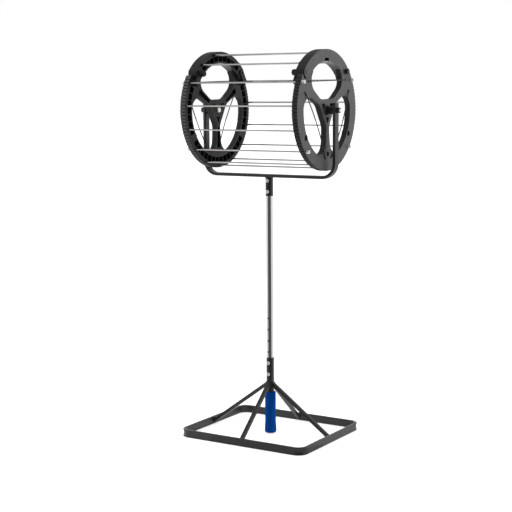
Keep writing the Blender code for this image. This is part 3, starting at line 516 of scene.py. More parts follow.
def grip_foam():
    """Matt blue foam with a fine, soft grain."""
    look = Shader("matt blue grip", Metallic=0.0, Specular_IOR_Level=0.05, Sheen_Weight=0.10,
                  Sheen_Roughness=0.6, Sheen_Tint=(0.02, 0.25, 0.80))
    colour = look.between(look.cloud(300.0, 3.0), (0.0008, 0.046, 0.235), (0.0012, 0.060, 0.300))
    return look.done(colour, look.cloud(500.0, 2.0, 0.72, 0.86), look.noise(1500.0, 4.0), 0.00016)


PAINT = satin_paint()
DISC_PAINTED_LIGHT_AND_SHADE = moulded_disc()
BLACK = moulded_plastic("moulded black plastic", (0.011, 0.011, 0.012), (0.016, 0.016, 0.017), 0.42)
WIRE = moulded_plastic("black coated wire", (0.006, 0.006, 0.006), (0.010, 0.010, 0.010), 0.34)
ROD_STEEL = drawn_metal("bright drawn rod", (0.64, 0.63, 0.61), 0.16, (0.04, 1.0, 1.0))
CHROME = polished_pole()
ZINC = drawn_metal("bright zinc", (0.90, 0.89, 0.87), 0.26, (1.0, 1.0, 1.0), 700.0, 0.00002, 0.45)
GRIP = grip_foam()


# What repeats or follows a path
class Growth(NodeKit):
    """A node tree that makes a mesh; its inputs are (name, kind, value)."""

    def __init__(self, name, *inputs):
        super().__init__(bpy.data.node_groups.new(name, "GeometryNodeTree"))
        sockets = self.tree.interface
        for title, kind, value in (*inputs, ("Finish", "Material", None)):
            socket = sockets.new_socket(title, in_out="INPUT", socket_type="NodeSocket" + kind)
            if value is not None:
                socket.default_value = value
        sockets.new_socket("Result", in_out="OUTPUT", socket_type="NodeSocketGeometry")
        self.entry = self.node("NodeGroupInput").outputs

    def on_points(self, points, part, turn):
        feeds = {"Points": points, "Instance": part, "Rotation": turn}
        return self.node("GeometryNodeInstanceOnPoints", feeds).outputs["Instances"]

    def ends_in(self, made):
        """The tree, which ends in Realize Instances and Set Material."""
        real = self.node("GeometryNodeRealizeInstances", {"Geometry": made}).outputs["Geometry"]
        coat = self.node("GeometryNodeSetMaterial", {"Geometry": real, "Material": self.entry["Finish"]})
        self.node("NodeGroupOutput", {"Result": coat.outputs["Geometry"]})
        return self.tree


def repeat_tree():
    """Sets copies of a part on the object's points; copies left of the middle face the other way."""
    kit = Growth("set copies", ("Points", "Geometry", None), ("Part", "Object", None),
                 ("Mirror", "Bool", False))
    part = kit.node("GeometryNodeObjectInfo", {"Object": kit.entry["Part"]}).outputs["Geometry"]
    place = kit.node("GeometryNodeInputPosition").outputs["Position"]
    along = kit.node("ShaderNodeSeparateXYZ", {0: place}).outputs["X"]
    left = kit.node("FunctionNodeCompare", {"A": along}, operation="LESS_THAN").outputs["Result"]
    both = kit.node("FunctionNodeBooleanMath", {0: left, 1: kit.entry["Mirror"]}, operation="AND")
    turn = kit.node("GeometryNodeSwitch", {"Switch": both.outputs[0], "True": (0.0, 0.0, math.pi)},
                    input_type="VECTOR")
    return kit.ends_in(kit.on_points(kit.entry["Points"], part, turn.outputs["Output"]))


def rod_tree():
    """Rods parallel to X, evenly spaced round the axle."""
    kit = Growth("ring of rods", ("Base", "Geometry", None), ("Count", "Int", 4),
                 ("First Angle", "Float", 0.0), ("Step Angle", "Float", 0.4),
                 ("Ring Radius", "Float", 0.14), ("Rod Radius", "Float", 0.002),
                 ("Rod Length", "Float", 0.3), ("Centre", "Vector", None))
    line = kit.node("GeometryNodeMeshLine", {"Count": kit.entry["Count"]})
    index = kit.node("GeometryNodeInputIndex").outputs[0]
    turn = kit.maths("MULTIPLY", index, kit.entry["Step Angle"])
    angle = kit.maths("ADD", turn, kit.entry["First Angle"])
    across = kit.maths("MULTIPLY", kit.maths("SINE", angle), kit.entry["Ring Radius"])
    up = kit.maths("MULTIPLY", kit.maths("COSINE", angle), kit.entry["Ring Radius"])
    place = kit.node("ShaderNodeCombineXYZ", {"Y": kit.maths("MULTIPLY", across, -1.0), "Z": up})
    place = kit.vector("ADD", place.outputs[0], kit.entry["Centre"])
    placed = kit.node("GeometryNodeSetPosition", {"Geometry": line.outputs["Mesh"], "Position": place})
    rod = kit.node("GeometryNodeMeshCylinder", {"Vertices": 20, "Side Segments": 12,
                                                "Radius": kit.entry["Rod Radius"],
                                                "Depth": kit.entry["Rod Length"]})
    return kit.ends_in(kit.on_points(placed.outputs["Geometry"], rod.outputs["Mesh"],
                                     (0.0, math.pi / 2, 0.0)))


def bar_tree():
    """A bar with rounded edges along the object's edges, its long side along Lean."""
    kit = Growth("bar along a path", ("Path", "Geometry", None), ("Long Side", "Float", 0.016),
                 ("Short Side", "Float", 0.007), ("Edge Radius", "Float", 0.002),
                 ("Edge Steps", "Int", 5), ("Lean", "Vector", None))
    path = kit.node("GeometryNodeMeshToCurve", {"Mesh": kit.entry["Path"]}).outputs["Curve"]
    lean = kit.node("GeometryNodeSetCurveNormal", {"Curve": path, "Normal": kit.entry["Lean"]}, mode="FREE")
    section = kit.node("GeometryNodeCurvePrimitiveQuadrilateral",
                       {"Width": kit.entry["Long Side"], "Height": kit.entry["Short Side"]})
    soft = kit.node("GeometryNodeFilletCurve",
                    {"Curve": section.outputs["Curve"], "Radius": kit.entry["Edge Radius"],
                     "Count": kit.entry["Edge Steps"], "Limit Radius": True}, mode="POLY")
    bar = kit.node("GeometryNodeCurveToMesh",
                   {"Curve": lean.outputs["Curve"], "Profile Curve": soft.outputs["Curve"],
                    "Fill Caps": True})
    return kit.ends_in(bar.outputs["Mesh"])


COPIES = repeat_tree()
RODS = rod_tree()
BAR = bar_tree()


def grown(name, base, tree, values):
    """The mesh that a node tree makes from a base mesh."""
    obj = linked(name, base)
    step = obj.modifiers.new("grow", "NODES")
    step.node_group = tree
    idents = {s.name: s.identifier for s in tree.interface.items_tree if s.in_out == "INPUT"}
    for key, value in values.items():
        step[idents[key]] = value
    mesh = settled(obj)
    bpy.data.objects.remove(obj)
    bm = bmesh.new()
    bm.from_mesh(mesh)
    bmesh.ops.remove_doubles(bm, verts=bm.verts, dist=TOUCHING)
    bmesh.ops.recalc_face_normals(bm, faces=bm.faces)
    bm.to_mesh(mesh)
    bm.free()
    return mesh


def path_mesh(name, points):
    mesh = bpy.data.meshes.new(name)
    edges = [(k, k + 1) for k in range(len(points) - 1)]
    mesh.from_pydata([tuple(p) for p in points], edges, [])
    return mesh


def copies_of(name, bm, points, finish, mirror=False):
    """One mesh with a copy of the part that a bmesh holds on each point."""
    part = linked(name + " pattern", mesh_from(bm, name + " pattern"))
    mesh = grown(name, path_mesh(name + " spots", points), COPIES,
                 {"Part": part, "Mirror": mirror, "Finish": finish})
    bpy.data.objects.remove(part)
    return mesh


# Base ring: flat tube, pinched at its corners
def base_ring():
    corner = 0.0275
    corner_steps = 20
    pinch_depth = 0.0021
    pinch_half = 0.42 * BAR_LONG
    tube = rounded([(0.0, -BAR_LONG / 2), (BAR_THICK, -BAR_LONG / 2), (BAR_THICK, BAR_LONG / 2),
                    (0.0, BAR_LONG / 2)], BAR_EDGE, 5)
    tube += [(0.0, h * BAR_LONG) for h in (0.24, 0.12, 0.0, -0.12, -0.24)]
    rings = []
    for k, (sx, sy) in enumerate(((1, 1), (-1, 1), (-1, -1), (1, -1))):
        cx = sx * (RING_LENGTH / 2 - corner)
        cy = sy * (RING_WIDTH / 2 - corner)
        for step in range(corner_steps + 1):
            a = math.radians(90 * (k + step / corner_steps))
            pinch = pinch_depth * math.sin(math.pi * step / corner_steps)
            ring = []
            for depth, height in tube:
                if depth < NOTHING:
                    depth = pinch * max(0.0, 1 - (height / pinch_half) ** 2)
                radius = corner - depth
                ring.append((cx + radius * math.cos(a), cy + radius * math.sin(a), BAR_LONG / 2 + height))
            rings.append(ring)
    bm = bmesh.new()
    loft(bm, rings, closed=True)
    piece("floor_ring", bm, PAINT, "stand", ["base_ring"])


# Struts: square tube, each with a weld at both ends
def struts():
    half = 0.0046
    edge = 0.0010
    weld = 0.0011
    overlap = 0.0001
    high = 0.130
    low = 0.0093
    lengths = 8
    top = TUBE_RADIUS + SEAT
    for name, way, reach in (("right", (1, 0), RING_LENGTH / 2), ("left", (-1, 0), RING_LENGTH / 2),
                             ("front", (0, -1), RING_WIDTH / 2), ("rear", (0, 1), RING_WIDTH / 2)):
        way = Vector((*way, 0.0))
        side = Vector((-way.y, way.x, 0))
        foot = reach - BAR_THICK - SEAT
        rise = half / math.cos(math.atan2(high - low, foot - top))
        outline = rounded([(-half, -rise), (half, -rise), (half, rise), (-half, rise)], edge, 4)
        rings = []
        for k in range(lengths + 1):
            t = k / lengths
            middle = way * (top + (foot - top) * t) + Vector((0, 0, high + (low - high) * t))
            rings.append([middle + side * a + Vector((0, 0, b)) for a, b in outline])
        bm = bmesh.new()
        loft(bm, rings)
        for out, height, sign in ((top, high, 1), (foot, low, -1)):
            centre = way * (out + sign * overlap) + Vector((0, 0, height))
            rings = []
            for sine, cosine in quarter(5):
                grow = 1 + weld * cosine / half
                deep = way * sign * (weld * sine)
                rings.append([centre + side * a * grow + Vector((0, 0, b * grow)) + deep
                              for a, b in outline])
            loft(bm, rings)
        piece("strut_bar_" + name, bm, PAINT, "stand", ["strut_" + name])


# Handle tube, grip, pole and socket
def tube_profile(bottom, top, outer, wall, edge=0.00025):
    inner = outer - wall
    return [(bottom, inner + edge), (bottom, outer - edge), (bottom + edge, outer), (top - edge, outer),
            (top, outer - edge), (top, inner + edge), (top - edge, inner), (bottom + edge, inner)]


def handle_tube():
    bottom = 0.0063
    wall = 0.00085
    bm = bmesh.new()
    lathe(bm, "Z", tube_profile(bottom, TUBE_TOP, TUBE_RADIUS, wall), 72, closed=True)
    piece("handle_sleeve", bm, PAINT, "stand", ["handle_tube"])


def hand_grip():
    """A foam sleeve, flared and ribbed at its lower end."""
    bottom = 0.001
    floor_height = 0.0060
    bore = 0.01035
    flare = 0.01525
    waist = flare - 0.00100
    flare_top = 0.014        # the heights between which flare and waist run into each other
    waist_bottom = 0.032
    bottom_flat = 0.0096
    bottom_round = 0.0050
    shoulder = 0.1080
    top_round = 0.0026
    rib_depth = 0.00035
    rib_pitch = 0.0035
    ribs_from = 0.011
    ribs_to = 0.0425
    rib_fade = 0.004
    row = 0.00045
    profile = [(bottom, 0.0), (bottom, bottom_flat)]
    profile += [(bottom + bottom_round * (1 - cosine), flare - bottom_round + bottom_round * sine)
                for sine, cosine in quarter(8, 1)]
    height = floor_height + 0.0005
    while height < shoulder:
        radius = flare - (flare - waist) * eased(height, flare_top, waist_bottom)
        if ribs_from < height < ribs_to:
            fade = min(1.0, (height - ribs_from) / rib_fade, (ribs_to - height) / rib_fade)
            wave = 0.5 - 0.5 * math.cos(2 * math.pi * (height - ribs_from) / rib_pitch)
            radius -= rib_depth * fade * wave
        profile.append((height, radius))
        height += row
    profile += [(shoulder + top_round * sine, waist - top_round + top_round * cosine)
                for sine, cosine in quarter(8, 1)]
    profile += [(shoulder + top_round, bore + 0.00005), (shoulder, bore), (floor_height + 0.0005, bore),
                (floor_height, 0.0)]
    bm = bmesh.new()
    lathe(bm, "Z", profile, 72)
    piece("grip_sleeve", bm, GRIP, "stand", ["hand_grip"], sharp=50.0)


def with_cuts(name, mesh, cutter):
    """The mesh with another mesh cut out of it."""
    obj = linked(name, mesh)
    tool = linked(name + " tool", cutter)
    step = obj.modifiers.new("cut", "BOOLEAN")
    step.operation = "DIFFERENCE"
    step.solver = "EXACT"
    step.object = tool
    made = settled(obj)
    bpy.data.objects.remove(obj)
    bpy.data.objects.remove(tool)
    return made


def pole():
    wall = 0.0012
    hole = 0.0023
    past = 0.02          # the cutters reach well past the pole on both sides
    bm = bmesh.new()
    lathe(bm, "Z", tube_profile(POLE_BOTTOM, FORK_BOTTOM - PLAY, POLE_RADIUS, wall), 64, closed=True)
    cuts = bmesh.new()
    for k in range(6):
        lathe(cuts, "Y", [(-past, 0.0), (-past, hole), (past, hole), (past, 0.0)], 24,
              (0.0, LOW_HOLE + HOLE_PITCH * k))
    mesh = with_cuts("pole_shine", mesh_from(bm, "pole_shine"), mesh_from(cuts, "pole_holes"))
    piece("pole_shine", mesh, CHROME, "mast", ["pole"], sharp=30.0)


def fork_socket():
    """A sleeve under the fork, with a bead of weld round its top."""
    length = 0.0476
    wall = 0.0007
    bead = 0.0012
    bead_root = 0.0003       # how far the bead reaches into the sleeve at its top
    bead_foot = 0.0002       # and at its foot
    top = FORK_BOTTOM - PLAY
    bm = bmesh.new()
    lathe(bm, "Z", tube_profile(top - length, top, SOCKET_RADIUS, wall), 72, closed=True)
    weld = [(top, SOCKET_RADIUS - bead_root)]
    weld += [(top - bead * sine, SOCKET_RADIUS + bead * cosine - bead_foot * sine)
             for sine, cosine in quarter(5)]
    lathe(bm, "Z", weld, 48, closed=True)
    piece("socket_sleeve", bm, PAINT, "mast", ["fork_socket"])


# Socket-head screws of the handle and of the socket
def screw(seat, tip):
    """Facing -Y: a low round head with a six-sided recess, and its shank."""
    shank = 0.002
    outer = 0.00475
    dome = 0.0022
    face_radius = 0.0028
    recess = 0.0024
    recess_depth = 0.0031
    head = seat + 0.0034
    profile = [(-tip, 0.0), (-tip, shank), (-seat, shank), (-seat, outer - 0.0002), (-seat - 0.0002, outer)]
    profile += [(-head + dome * (1 - sine), outer - dome * (1 - cosine))
                for sine, cosine in quarter(8, 1)[:-1]]
    profile.append((-head, face_radius))
    bm = bmesh.new()
    socket_head(bm, "Y", profile, 36, recess, recess_depth)
    return bm


def screws():
    """The handle's screws stop short of the pole; the socket's pass through it."""
    for name, body, seat, tip, heights in (
            ("handle", "stand", TUBE_RADIUS, POLE_RADIUS + PLAY, (LOW_HOLE, LOW_HOLE + HOLE_PITCH)),
            ("socket", "mast", SOCKET_RADIUS, -POLE_RADIUS, (0.6625, 0.6340))):
        pair = name + "_screw_pair"
        mesh = copies_of(pair, screw(seat, tip), [(0, 0, height) for height in heights], ZINC)
        piece(pair, mesh, ZINC, body, [name + "_screw_1", name + "_screw_2"], sharp=30.0)


# Fork with its axle set
def fork():
    """One flat tube: up both arms and round two bends under the drum."""
    corner = 0.040
    corner_steps = 20
    arm_start = 0.76
    arm_past_axle = 0.018
    line = ARM_OUT - BAR_THICK / 2
    bend = corner - BAR_THICK / 2
    heights = (AXLE_HEIGHT + arm_past_axle, AXLE_HEIGHT, arm_start)
    points = [Vector((-line, 0, height)) for height in heights]
    for side, start in ((-1, 180.0), (1, 270.0)):
        for step in range(corner_steps + 1):
            a = math.radians(start + 90.0 * step / corner_steps)
            points.append(Vector((side * (ARM_OUT - corner) + bend * math.cos(a), 0,
                                  FORK_BOTTOM + corner + bend * math.sin(a))))
    points += [Vector((line, 0, height)) for height in reversed(heights)]
    mesh = grown("fork_bar", path_mesh("fork path", points), BAR,
                 {"Long Side": BAR_LONG, "Short Side": BAR_THICK, "Edge Radius": BAR_EDGE,
                  "Lean": (0.0, 1.0, 0.0), "Finish": PAINT})
    piece("fork_bar", mesh, PAINT, "mast", ["fork"], sharp=50.0)


def axle_sets():
    """On each side a bolt from inside the disc, a spacer and a dark nut outside the fork's arm."""
    bolt = 0.004
    bolt_head = 0.00675
    head_height = 0.005
    past_nut = 0.0012
    spacer = 0.012
    collar = 0.0095
    nut_height = 0.0078
    nut_corner = 0.0065 / math.cos(math.pi / 6)
    nut_bore = 0.0041
    under = DISC_IN - PLAY
    head = under - head_height
    tip = ARM_OUT + PLAY + nut_height + past_nut
    near = DISC_OUT + PLAY
    far = ARM_IN - PLAY
    seat = ARM_OUT + SEAT
    centre = (0.0, AXLE_HEIGHT)
    bolts = bmesh.new()
    nuts = bmesh.new()
    for side, hand in SIDES:
        turned(bolts, hand, [(head, 0), (head, 0.0044), (head + 0.0006, 0.0056), (head + 0.0014, 0.00665),
                             (under - 0.0002, bolt_head), (under, 0.0066), (under, bolt),
                             (tip - 0.0006, bolt), (tip, 0.0034), (tip, 0)], 32, centre)
        bm = bmesh.new()
        turned(bm, hand, [(near, AXLE_BORE), (near, spacer - 0.0004), (near + 0.0004, spacer),
                          (near + 0.0024, spacer), (near + 0.0028, spacer - 0.0004),
                          (near + 0.0030, collar + 0.0002), (near + 0.0034, collar),
                          (far - 0.0005, collar), (far, collar - 0.0005), (far, AXLE_BORE)],
               48, centre, closed=True)
        piece("spacer_" + side, bm, BLACK, "mast", ["axle_spacer_" + side])
        plate(nuts, "X", circle(nut_corner, 6, centre), [circle(nut_bore, 24, centre)],
              hand * seat, hand * (seat + nut_height), 0.0006)
    piece("axle_bolts", bolts, ZINC, "mast", ["axle_bolt_left", "axle_bolt_right"])
    piece("axle_nuts", nuts, BLACK, "mast", ["axle_nut_left", "axle_nut_right"])


# Drum discs
def rim_loop():
    """(radius, angle) points of the toothed rim, which is plain behind the lid."""
    teeth = 110
    first_groove = 55.0
    last_groove = 305.0
    groove_width = 0.0021
    groove_depth = 0.0017
    pitch = 360.0 / teeth
    top = math.degrees(groove_width / 2 / DISC_RADIUS)
    low = 0.62 * top
    groove = ((1.35 * top, 0.00002), (1.08 * top, 0.0001), (low, 0.0014), (0.5 * low, groove_depth))
    points = []
    for k in range(teeth):
        middle = (k + 0.5) * pitch
        if first_groove < middle < last_groove:
            points += [(DISC_RADIUS - depth, middle - angle) for angle, depth in groove]
            points += [(DISC_RADIUS - depth, middle + angle) for angle, depth in reversed(groove)]
        else:
            points += [(DISC_RADIUS, middle - 0.3 * pitch), (DISC_RADIUS, middle + 0.3 * pitch)]
    return points


def end_point(end_deg, sign, turn_deg, radius):
    """A point round the pivot or the latch: 0 looks away from the lid, 90 outwards."""
    centre = Vector(around(LID_MID, end_deg))
    outward = (centre - Vector((0.0, AXLE_HEIGHT))).normalized()
    away = Vector((-outward.y, outward.x)) * sign
    turn = math.radians(turn_deg)
    return tuple(centre + (away * math.cos(turn) + outward * math.sin(turn)) * radius)


def lid_gap():
    """The two edges of the gap for the lid, each from the rim in to the tip of the disc's ear."""
    steps = 24
    ear_steps = 8
    from_rim = 35.0          # the turn round the pivot where the gap leaves the rim
    to_ear = -90.0           # and where it meets the ear
    crescent = 0.0069        # room for the lid's end as it swings open
    crescent_from = -40.0
    crescent_full = 20.0
    tight = LID_END + LID_PLAY
    front = []
    rear = []
    for k in range(steps + 1):
        turn = from_rim + (to_ear - from_rim) * k / steps
        room = crescent * eased(turn, crescent_from, crescent_full)
        front.append(end_point(LID_FRONT, 1, turn, tight + room))
        rear.append(end_point(LID_REAR, -1, turn, tight))
    for k in range(1, ear_steps + 1):
        front.append(around(LID_INNER - LID_PLAY, LID_FRONT + (EAR_TIP - LID_FRONT) * k / ear_steps))
        rear.append(around(LID_INNER - LID_PLAY, LID_REAR - (EAR_TIP + LID_REAR) * k / ear_steps))
    return front, rear


def disc_outline():
    """The rim, the gap's two edges and the top opening, which runs out into the gap."""
    def angle_of(point):
        return math.degrees(math.atan2(-point[0], point[1] - AXLE_HEIGHT)) - DRUM_TURN

    def reach_of(point):
        return math.hypot(point[0], point[1] - AXLE_HEIGHT)

    within_rim = DISC_RADIUS - 0.0002
    within_ring = 0.1
    corner = 0.1             # degrees from the gap to the rim's first point
    clear = 0.4              # degrees from the gap to its first tooth
    front, rear = [[p for p in edge if reach_of(p) < within_rim] for edge in lid_gap()]
    first = angle_of(front[0])
    last = 360 + angle_of(rear[0])
    rim = [(r, a) for r, a in rim_loop() if first + clear < a < last - clear]
    rim = [(DISC_RADIUS, first + corner)] + rim + [(DISC_RADIUS, last - corner)]
    top = [p for p in opening_outline(0.0, False)
           if abs(angle_of(p)) > EAR_TIP or reach_of(p) < within_ring]
    return [around(r, a) for r, a in rim] + rear + top[::-1] + front[::-1]


def opening_outline(middle_deg, with_lip):
    """An opening between ring, hub and two flaring spokes, with round corners; a lip round the stud."""
    ring_inner = 0.1182
    spoke_angle = math.radians(60)
    spoke_half = 0.0086
    flare_start = 0.055
    flare = math.radians(4.5)
    hub_edge = 0.027
    outer_corner = 0.031
    inner_corner = 0.030
    ring_steps = 30
    outer_steps = 19
    inner_steps = 10
    stud_lip = 0.0091
    spoke = Vector((math.sin(spoke_angle), math.cos(spoke_angle)))
    across = Vector((-spoke.y, spoke.x))
    line_point = spoke * flare_start + across * spoke_half
    line_dir = spoke * math.cos(flare) + across * math.sin(flare)
    inward = across * math.cos(flare) - spoke * math.sin(flare)
    start = line_point + inward * outer_corner
    b = start.dot(line_dir)
    c = start.dot(start) - (ring_inner - outer_corner) ** 2
    outer_centre = start + line_dir * (-b + math.sqrt(b * b - c))
    start = line_point + inward * inner_corner
    inner_centre = start + line_dir * ((hub_edge + inner_corner - start.y) / line_dir.y)
    half = []
    limit = math.atan2(outer_centre.x, outer_centre.y)
    for step in range(ring_steps):
        a = limit * step / ring_steps
        radius = ring_inner
        miss = STUD_CIRCLE * math.sin(a)
        if with_lip and abs(miss) < stud_lip:
            radius = min(radius, STUD_CIRCLE * math.cos(a) - math.sqrt(stud_lip ** 2 - miss ** 2))
        half.append((radius * math.sin(a), radius * math.cos(a)))
    corner_end = math.atan2(-inward.y, -inward.x)
    for centre, radius, begin, end, steps in (
            (outer_centre, outer_corner, math.pi / 2 - limit, corner_end, outer_steps),
            (inner_centre, inner_corner, corner_end, -math.pi / 2, inner_steps)):
        for step in range(steps + 1):
            a = begin + (end - begin) * step / steps
            half.append((centre.x + radius * math.cos(a), centre.y + radius * math.sin(a)))
    return on_disc(half + [(-x, y) for x, y in reversed(half[1:])], middle_deg)


def rib_pocket(middle, half, inner, outer, depth):
    """A pocket of the back between two ribs, over half its angle to both sides of its middle."""
    turns = (-half, -half / 3, half / 3, half)
    return ([around(outer, middle + turn) for turn in turns]
            + [around(inner, middle + turn) for turn in reversed(turns)], depth)


def disc_front_pockets(bm, hand):
    """Recesses of the outer face: two with a stud, an oval one and the wires' seats."""
    stud = 0.0039
    stud_recess = 0.0065
    # the studs' faces lie 3 mm down, where the disc's finish leaves them black as painted shade
    face = DISC_OUT - 0.0030
    bottom = DISC_OUT - POCKET_DEPTH - 0.0004
    wire_hole = 0.0018
    wire_depth = 0.003
    oval_width = 0.0105
    oval_height = 0.0125
    oval_place = -0.1080
    pockets = []
    for angle in STUD_ANGLES:
        centre = around(STUD_CIRCLE, angle)
        pockets.append((circle(stud_recess, 32, centre), POCKET_DEPTH))
        turned(bm, hand, [(bottom, 0), (bottom, stud), (face - 0.0004, stud), (face, stud - 0.0005),
                          (face, 0)], 24, centre)
    oval = [(oval_width / 2 * a, oval_place + oval_height / 2 * b) for a, b in circle(1.0, 28)]
    pockets.append((on_disc(oval, 0.0), POCKET_DEPTH))
    for angle in OPENING_ANGLES:
        for end in (-GUARD_ANGLE, GUARD_ANGLE):
            pockets.append((circle(wire_hole, 16, around(GUARD_CIRCLE, angle + end)), wire_depth))
    return pockets


def disc_back_pockets():
    """Hollows of the inner face: rod seats, pockets between ribs and one in each spoke."""
    hollow = 0.0095
    rod_hole = 0.0022
    rod_depth = 0.008
    inner = 0.1222
    outer = 0.1388
    first = 65.0
    count = 30
    pitch = 230.0 / (count - 1)
    round_stud = 7.0
    spoke = rounded([(-0.0036, 0.045), (0.0036, 0.045), (0.0076, 0.098), (-0.0076, 0.098)], 0.0016, 4)
    pockets = [(circle(rod_hole, 16, around(ROD_CIRCLE, FIRST_CAGE_ROD + ROD_STEP * k)), rod_depth)
               for k in range(CAGE_RODS)]
    for k in range(count):
        angle = first + pitch * k
        if min(abs(angle - stud) for stud in STUD_ANGLES) > round_stud:
            pockets.append(rib_pocket(angle, (pitch - RIB_ANGLE) / 2, inner, outer, hollow))
    return pockets + [(on_disc(spoke, angle), hollow) for angle in SPOKE_ANGLES]


def bracket_loop(end_deg, sign, eye):
    """A bracket's arm from the disc, with or without the eye round the pivot or the latch."""
    inner = 0.1237
    outer = 0.1396
    past_end = 9.5
    width = 4.5
    eye_radius = 0.00825
    near = end_deg + sign * past_end
    far = near + sign * width
    loop = [around(outer, near), around(outer, far), around(inner, far), around(inner, near)]
    if eye:
        turns = (70, 88, 105, 122, 140, 160)
        loop += [end_point(end_deg, sign, turn, eye_radius)
                 for turn in (*(-turn for turn in turns), -180, *reversed(turns))]
    return loop


def disc(side, hand):
    """A toothed disc with three openings and three small windows, and the lid's two brackets."""
    overlap = 0.002          # of a bracket's arm with the disc and with its eye
    window = rounded([(-0.0085, 0.017), (0.0085, 0.017), (0.0, 0.034)], 0.0018, 5)
    holes = [opening_outline(angle, True) for angle in STUD_ANGLES]
    holes += [on_disc(window, angle) for angle in SPOKE_ANGLES]
    holes.append(circle(AXLE_BORE, 24, (0.0, AXLE_HEIGHT)))
    bm = bmesh.new()
    pockets = disc_front_pockets(bm, hand)
    plate(bm, "X", disc_outline(), holes, hand * DISC_IN, hand * DISC_OUT, 0.0004, pockets,
          disc_back_pockets())
    eye = LID_IN - PLAY
    for end_deg, sign, pin in ((LID_FRONT, 1, PIVOT_BORE), (LID_REAR, -1, LATCH_BORE)):
        plate(bm, "X", bracket_loop(end_deg, sign, False), [], hand * (eye - overlap),
              hand * (DISC_IN + overlap), 0.0003)
        plate(bm, "X", bracket_loop(end_deg, sign, True), [circle(pin, 24, around(LID_MID, end_deg))],
              hand * (eye - BRACKET_EYE), hand * eye)
    piece("drum_disc_" + side, bm, DISC_PAINTED_LIGHT_AND_SHADE, "drum", ["disc_" + side])


# Rods of the drum and of the lid
def rods():
    for name, body, first, count, side_in, nodes in (
            ("cage_rods", "drum", FIRST_CAGE_ROD, CAGE_RODS, DISC_IN,
             ["rod_%02d" % k for k in range(1, 8)] + ["tie_rod_%d" % k for k in range(1, 5)]),
            ("lid_rods", "lid", FIRST_LID_ROD, LID_RODS, LID_IN,
             ["lid_rod_%d" % k for k in range(1, 5)])):
        mesh = grown(name, path_mesh(name + " start", [(0, 0, 0), (0, 0, 0.01)]), RODS,
                     {"Count": count, "First Angle": math.radians(first + DRUM_TURN),
                      "Step Angle": math.radians(ROD_STEP), "Ring Radius": ROD_CIRCLE,
                      "Rod Radius": ROD_DIAMETER / 2, "Rod Length": 2 * (side_in + ROD_SEAT),
                      "Centre": (0.0, 0.0, AXLE_HEIGHT), "Finish": ROD_STEEL})
        piece(name, mesh, ROD_STEEL, body, nodes, sharp=50.0)


def tie_nuts():
    """A round nut with a recess on each end of the four tie rods."""
    outer = 0.0045
    dome = 0.0016
    length = 0.0082
    recess = 0.0018
    off_middle = 1e-5        # tells the copies of the two sides apart
    near = DISC_OUT + SEAT
    far = near + length
    profile = [(near, 0.0), (near, outer - 0.0002), (near + 0.0002, outer), (far - dome, outer)]
    profile += [(far - dome * (1 - sine), outer - dome * (1 - cosine)) for sine, cosine in quarter(6, 1)]
    bm = bmesh.new()
    socket_head(bm, "X", profile, 30, recess, recess)
    spots = []
    for angle in (60.0, 132.0, 228.0, 300.0):
        y, z = around(ROD_CIRCLE, angle)
        spots += [(off_middle, y, z), (-off_middle, y, z)]
    mesh = copies_of("tie_nut_set", bm, spots, ZINC, mirror=True)
    nodes = ["tie_nut_%s_%d" % (side, k) for side in ("left", "right") for k in range(1, 5)]
    piece("tie_nut_set", mesh, ZINC, "drum", nodes, sharp=30.0)


def guard_wires():
    """Three bowed wires over each disc's openings, with a formed pad where each end goes in."""
    thick = 0.0026
    edge = 0.00128           # nearly half as thick, so that the square section turns round
    lift = 0.0016
    bow = 0.0048
    ramp = 0.003
    steps = 24
    ends = [(0.0, DISC_OUT - 0.0027), (0.0, DISC_OUT - 0.0004), (0.0004, DISC_OUT + 0.0007),
            (0.0014, DISC_OUT + 0.0013), (ramp, DISC_OUT + lift)]
    pad = [(DISC_OUT - 0.0002, 0), (DISC_OUT - 0.0002, 0.0026), (DISC_OUT + 0.0006, 0.0027),
           (DISC_OUT + 0.0014, 0.0024), (DISC_OUT + 0.0020, 0.0016), (DISC_OUT + 0.0022, 0)]
    for side, hand in SIDES:
        whole = bmesh.new()
        for angle in OPENING_ANGLES:
            start = around(GUARD_CIRCLE, angle - GUARD_ANGLE)
            end = around(GUARD_CIRCLE, angle + GUARD_ANGLE)
            length = math.dist(start, end)
            middle = [(ramp + (length - 2 * ramp) * t / steps,
                       DISC_OUT + lift + bow * math.sin(math.pi * t / steps)) for t in range(1, steps)]
            stations = ends + middle + [(length - a, x) for a, x in reversed(ends)]
            points = [(hand * x, start[0] + (end[0] - start[0]) * a / length,
                       start[1] + (end[1] - start[1]) * a / length) for a, x in stations]
            mesh = grown("wire", path_mesh("wire path", points), BAR,
                         {"Long Side": thick, "Short Side": thick, "Edge Radius": edge,
                          "Edge Steps": 4, "Lean": (1.0, 0.0, 0.0), "Finish": WIRE})
            whole.from_mesh(mesh)
            for centre in (start, end):
                turned(whole, hand, pad, 20, centre)
        nodes = ["guard_wire_%s_%d" % (side, k) for k in (1, 2, 3)]
        piece("guard_wires_" + side, whole, WIRE, "drum", nodes, sharp=60.0, weighted=False)


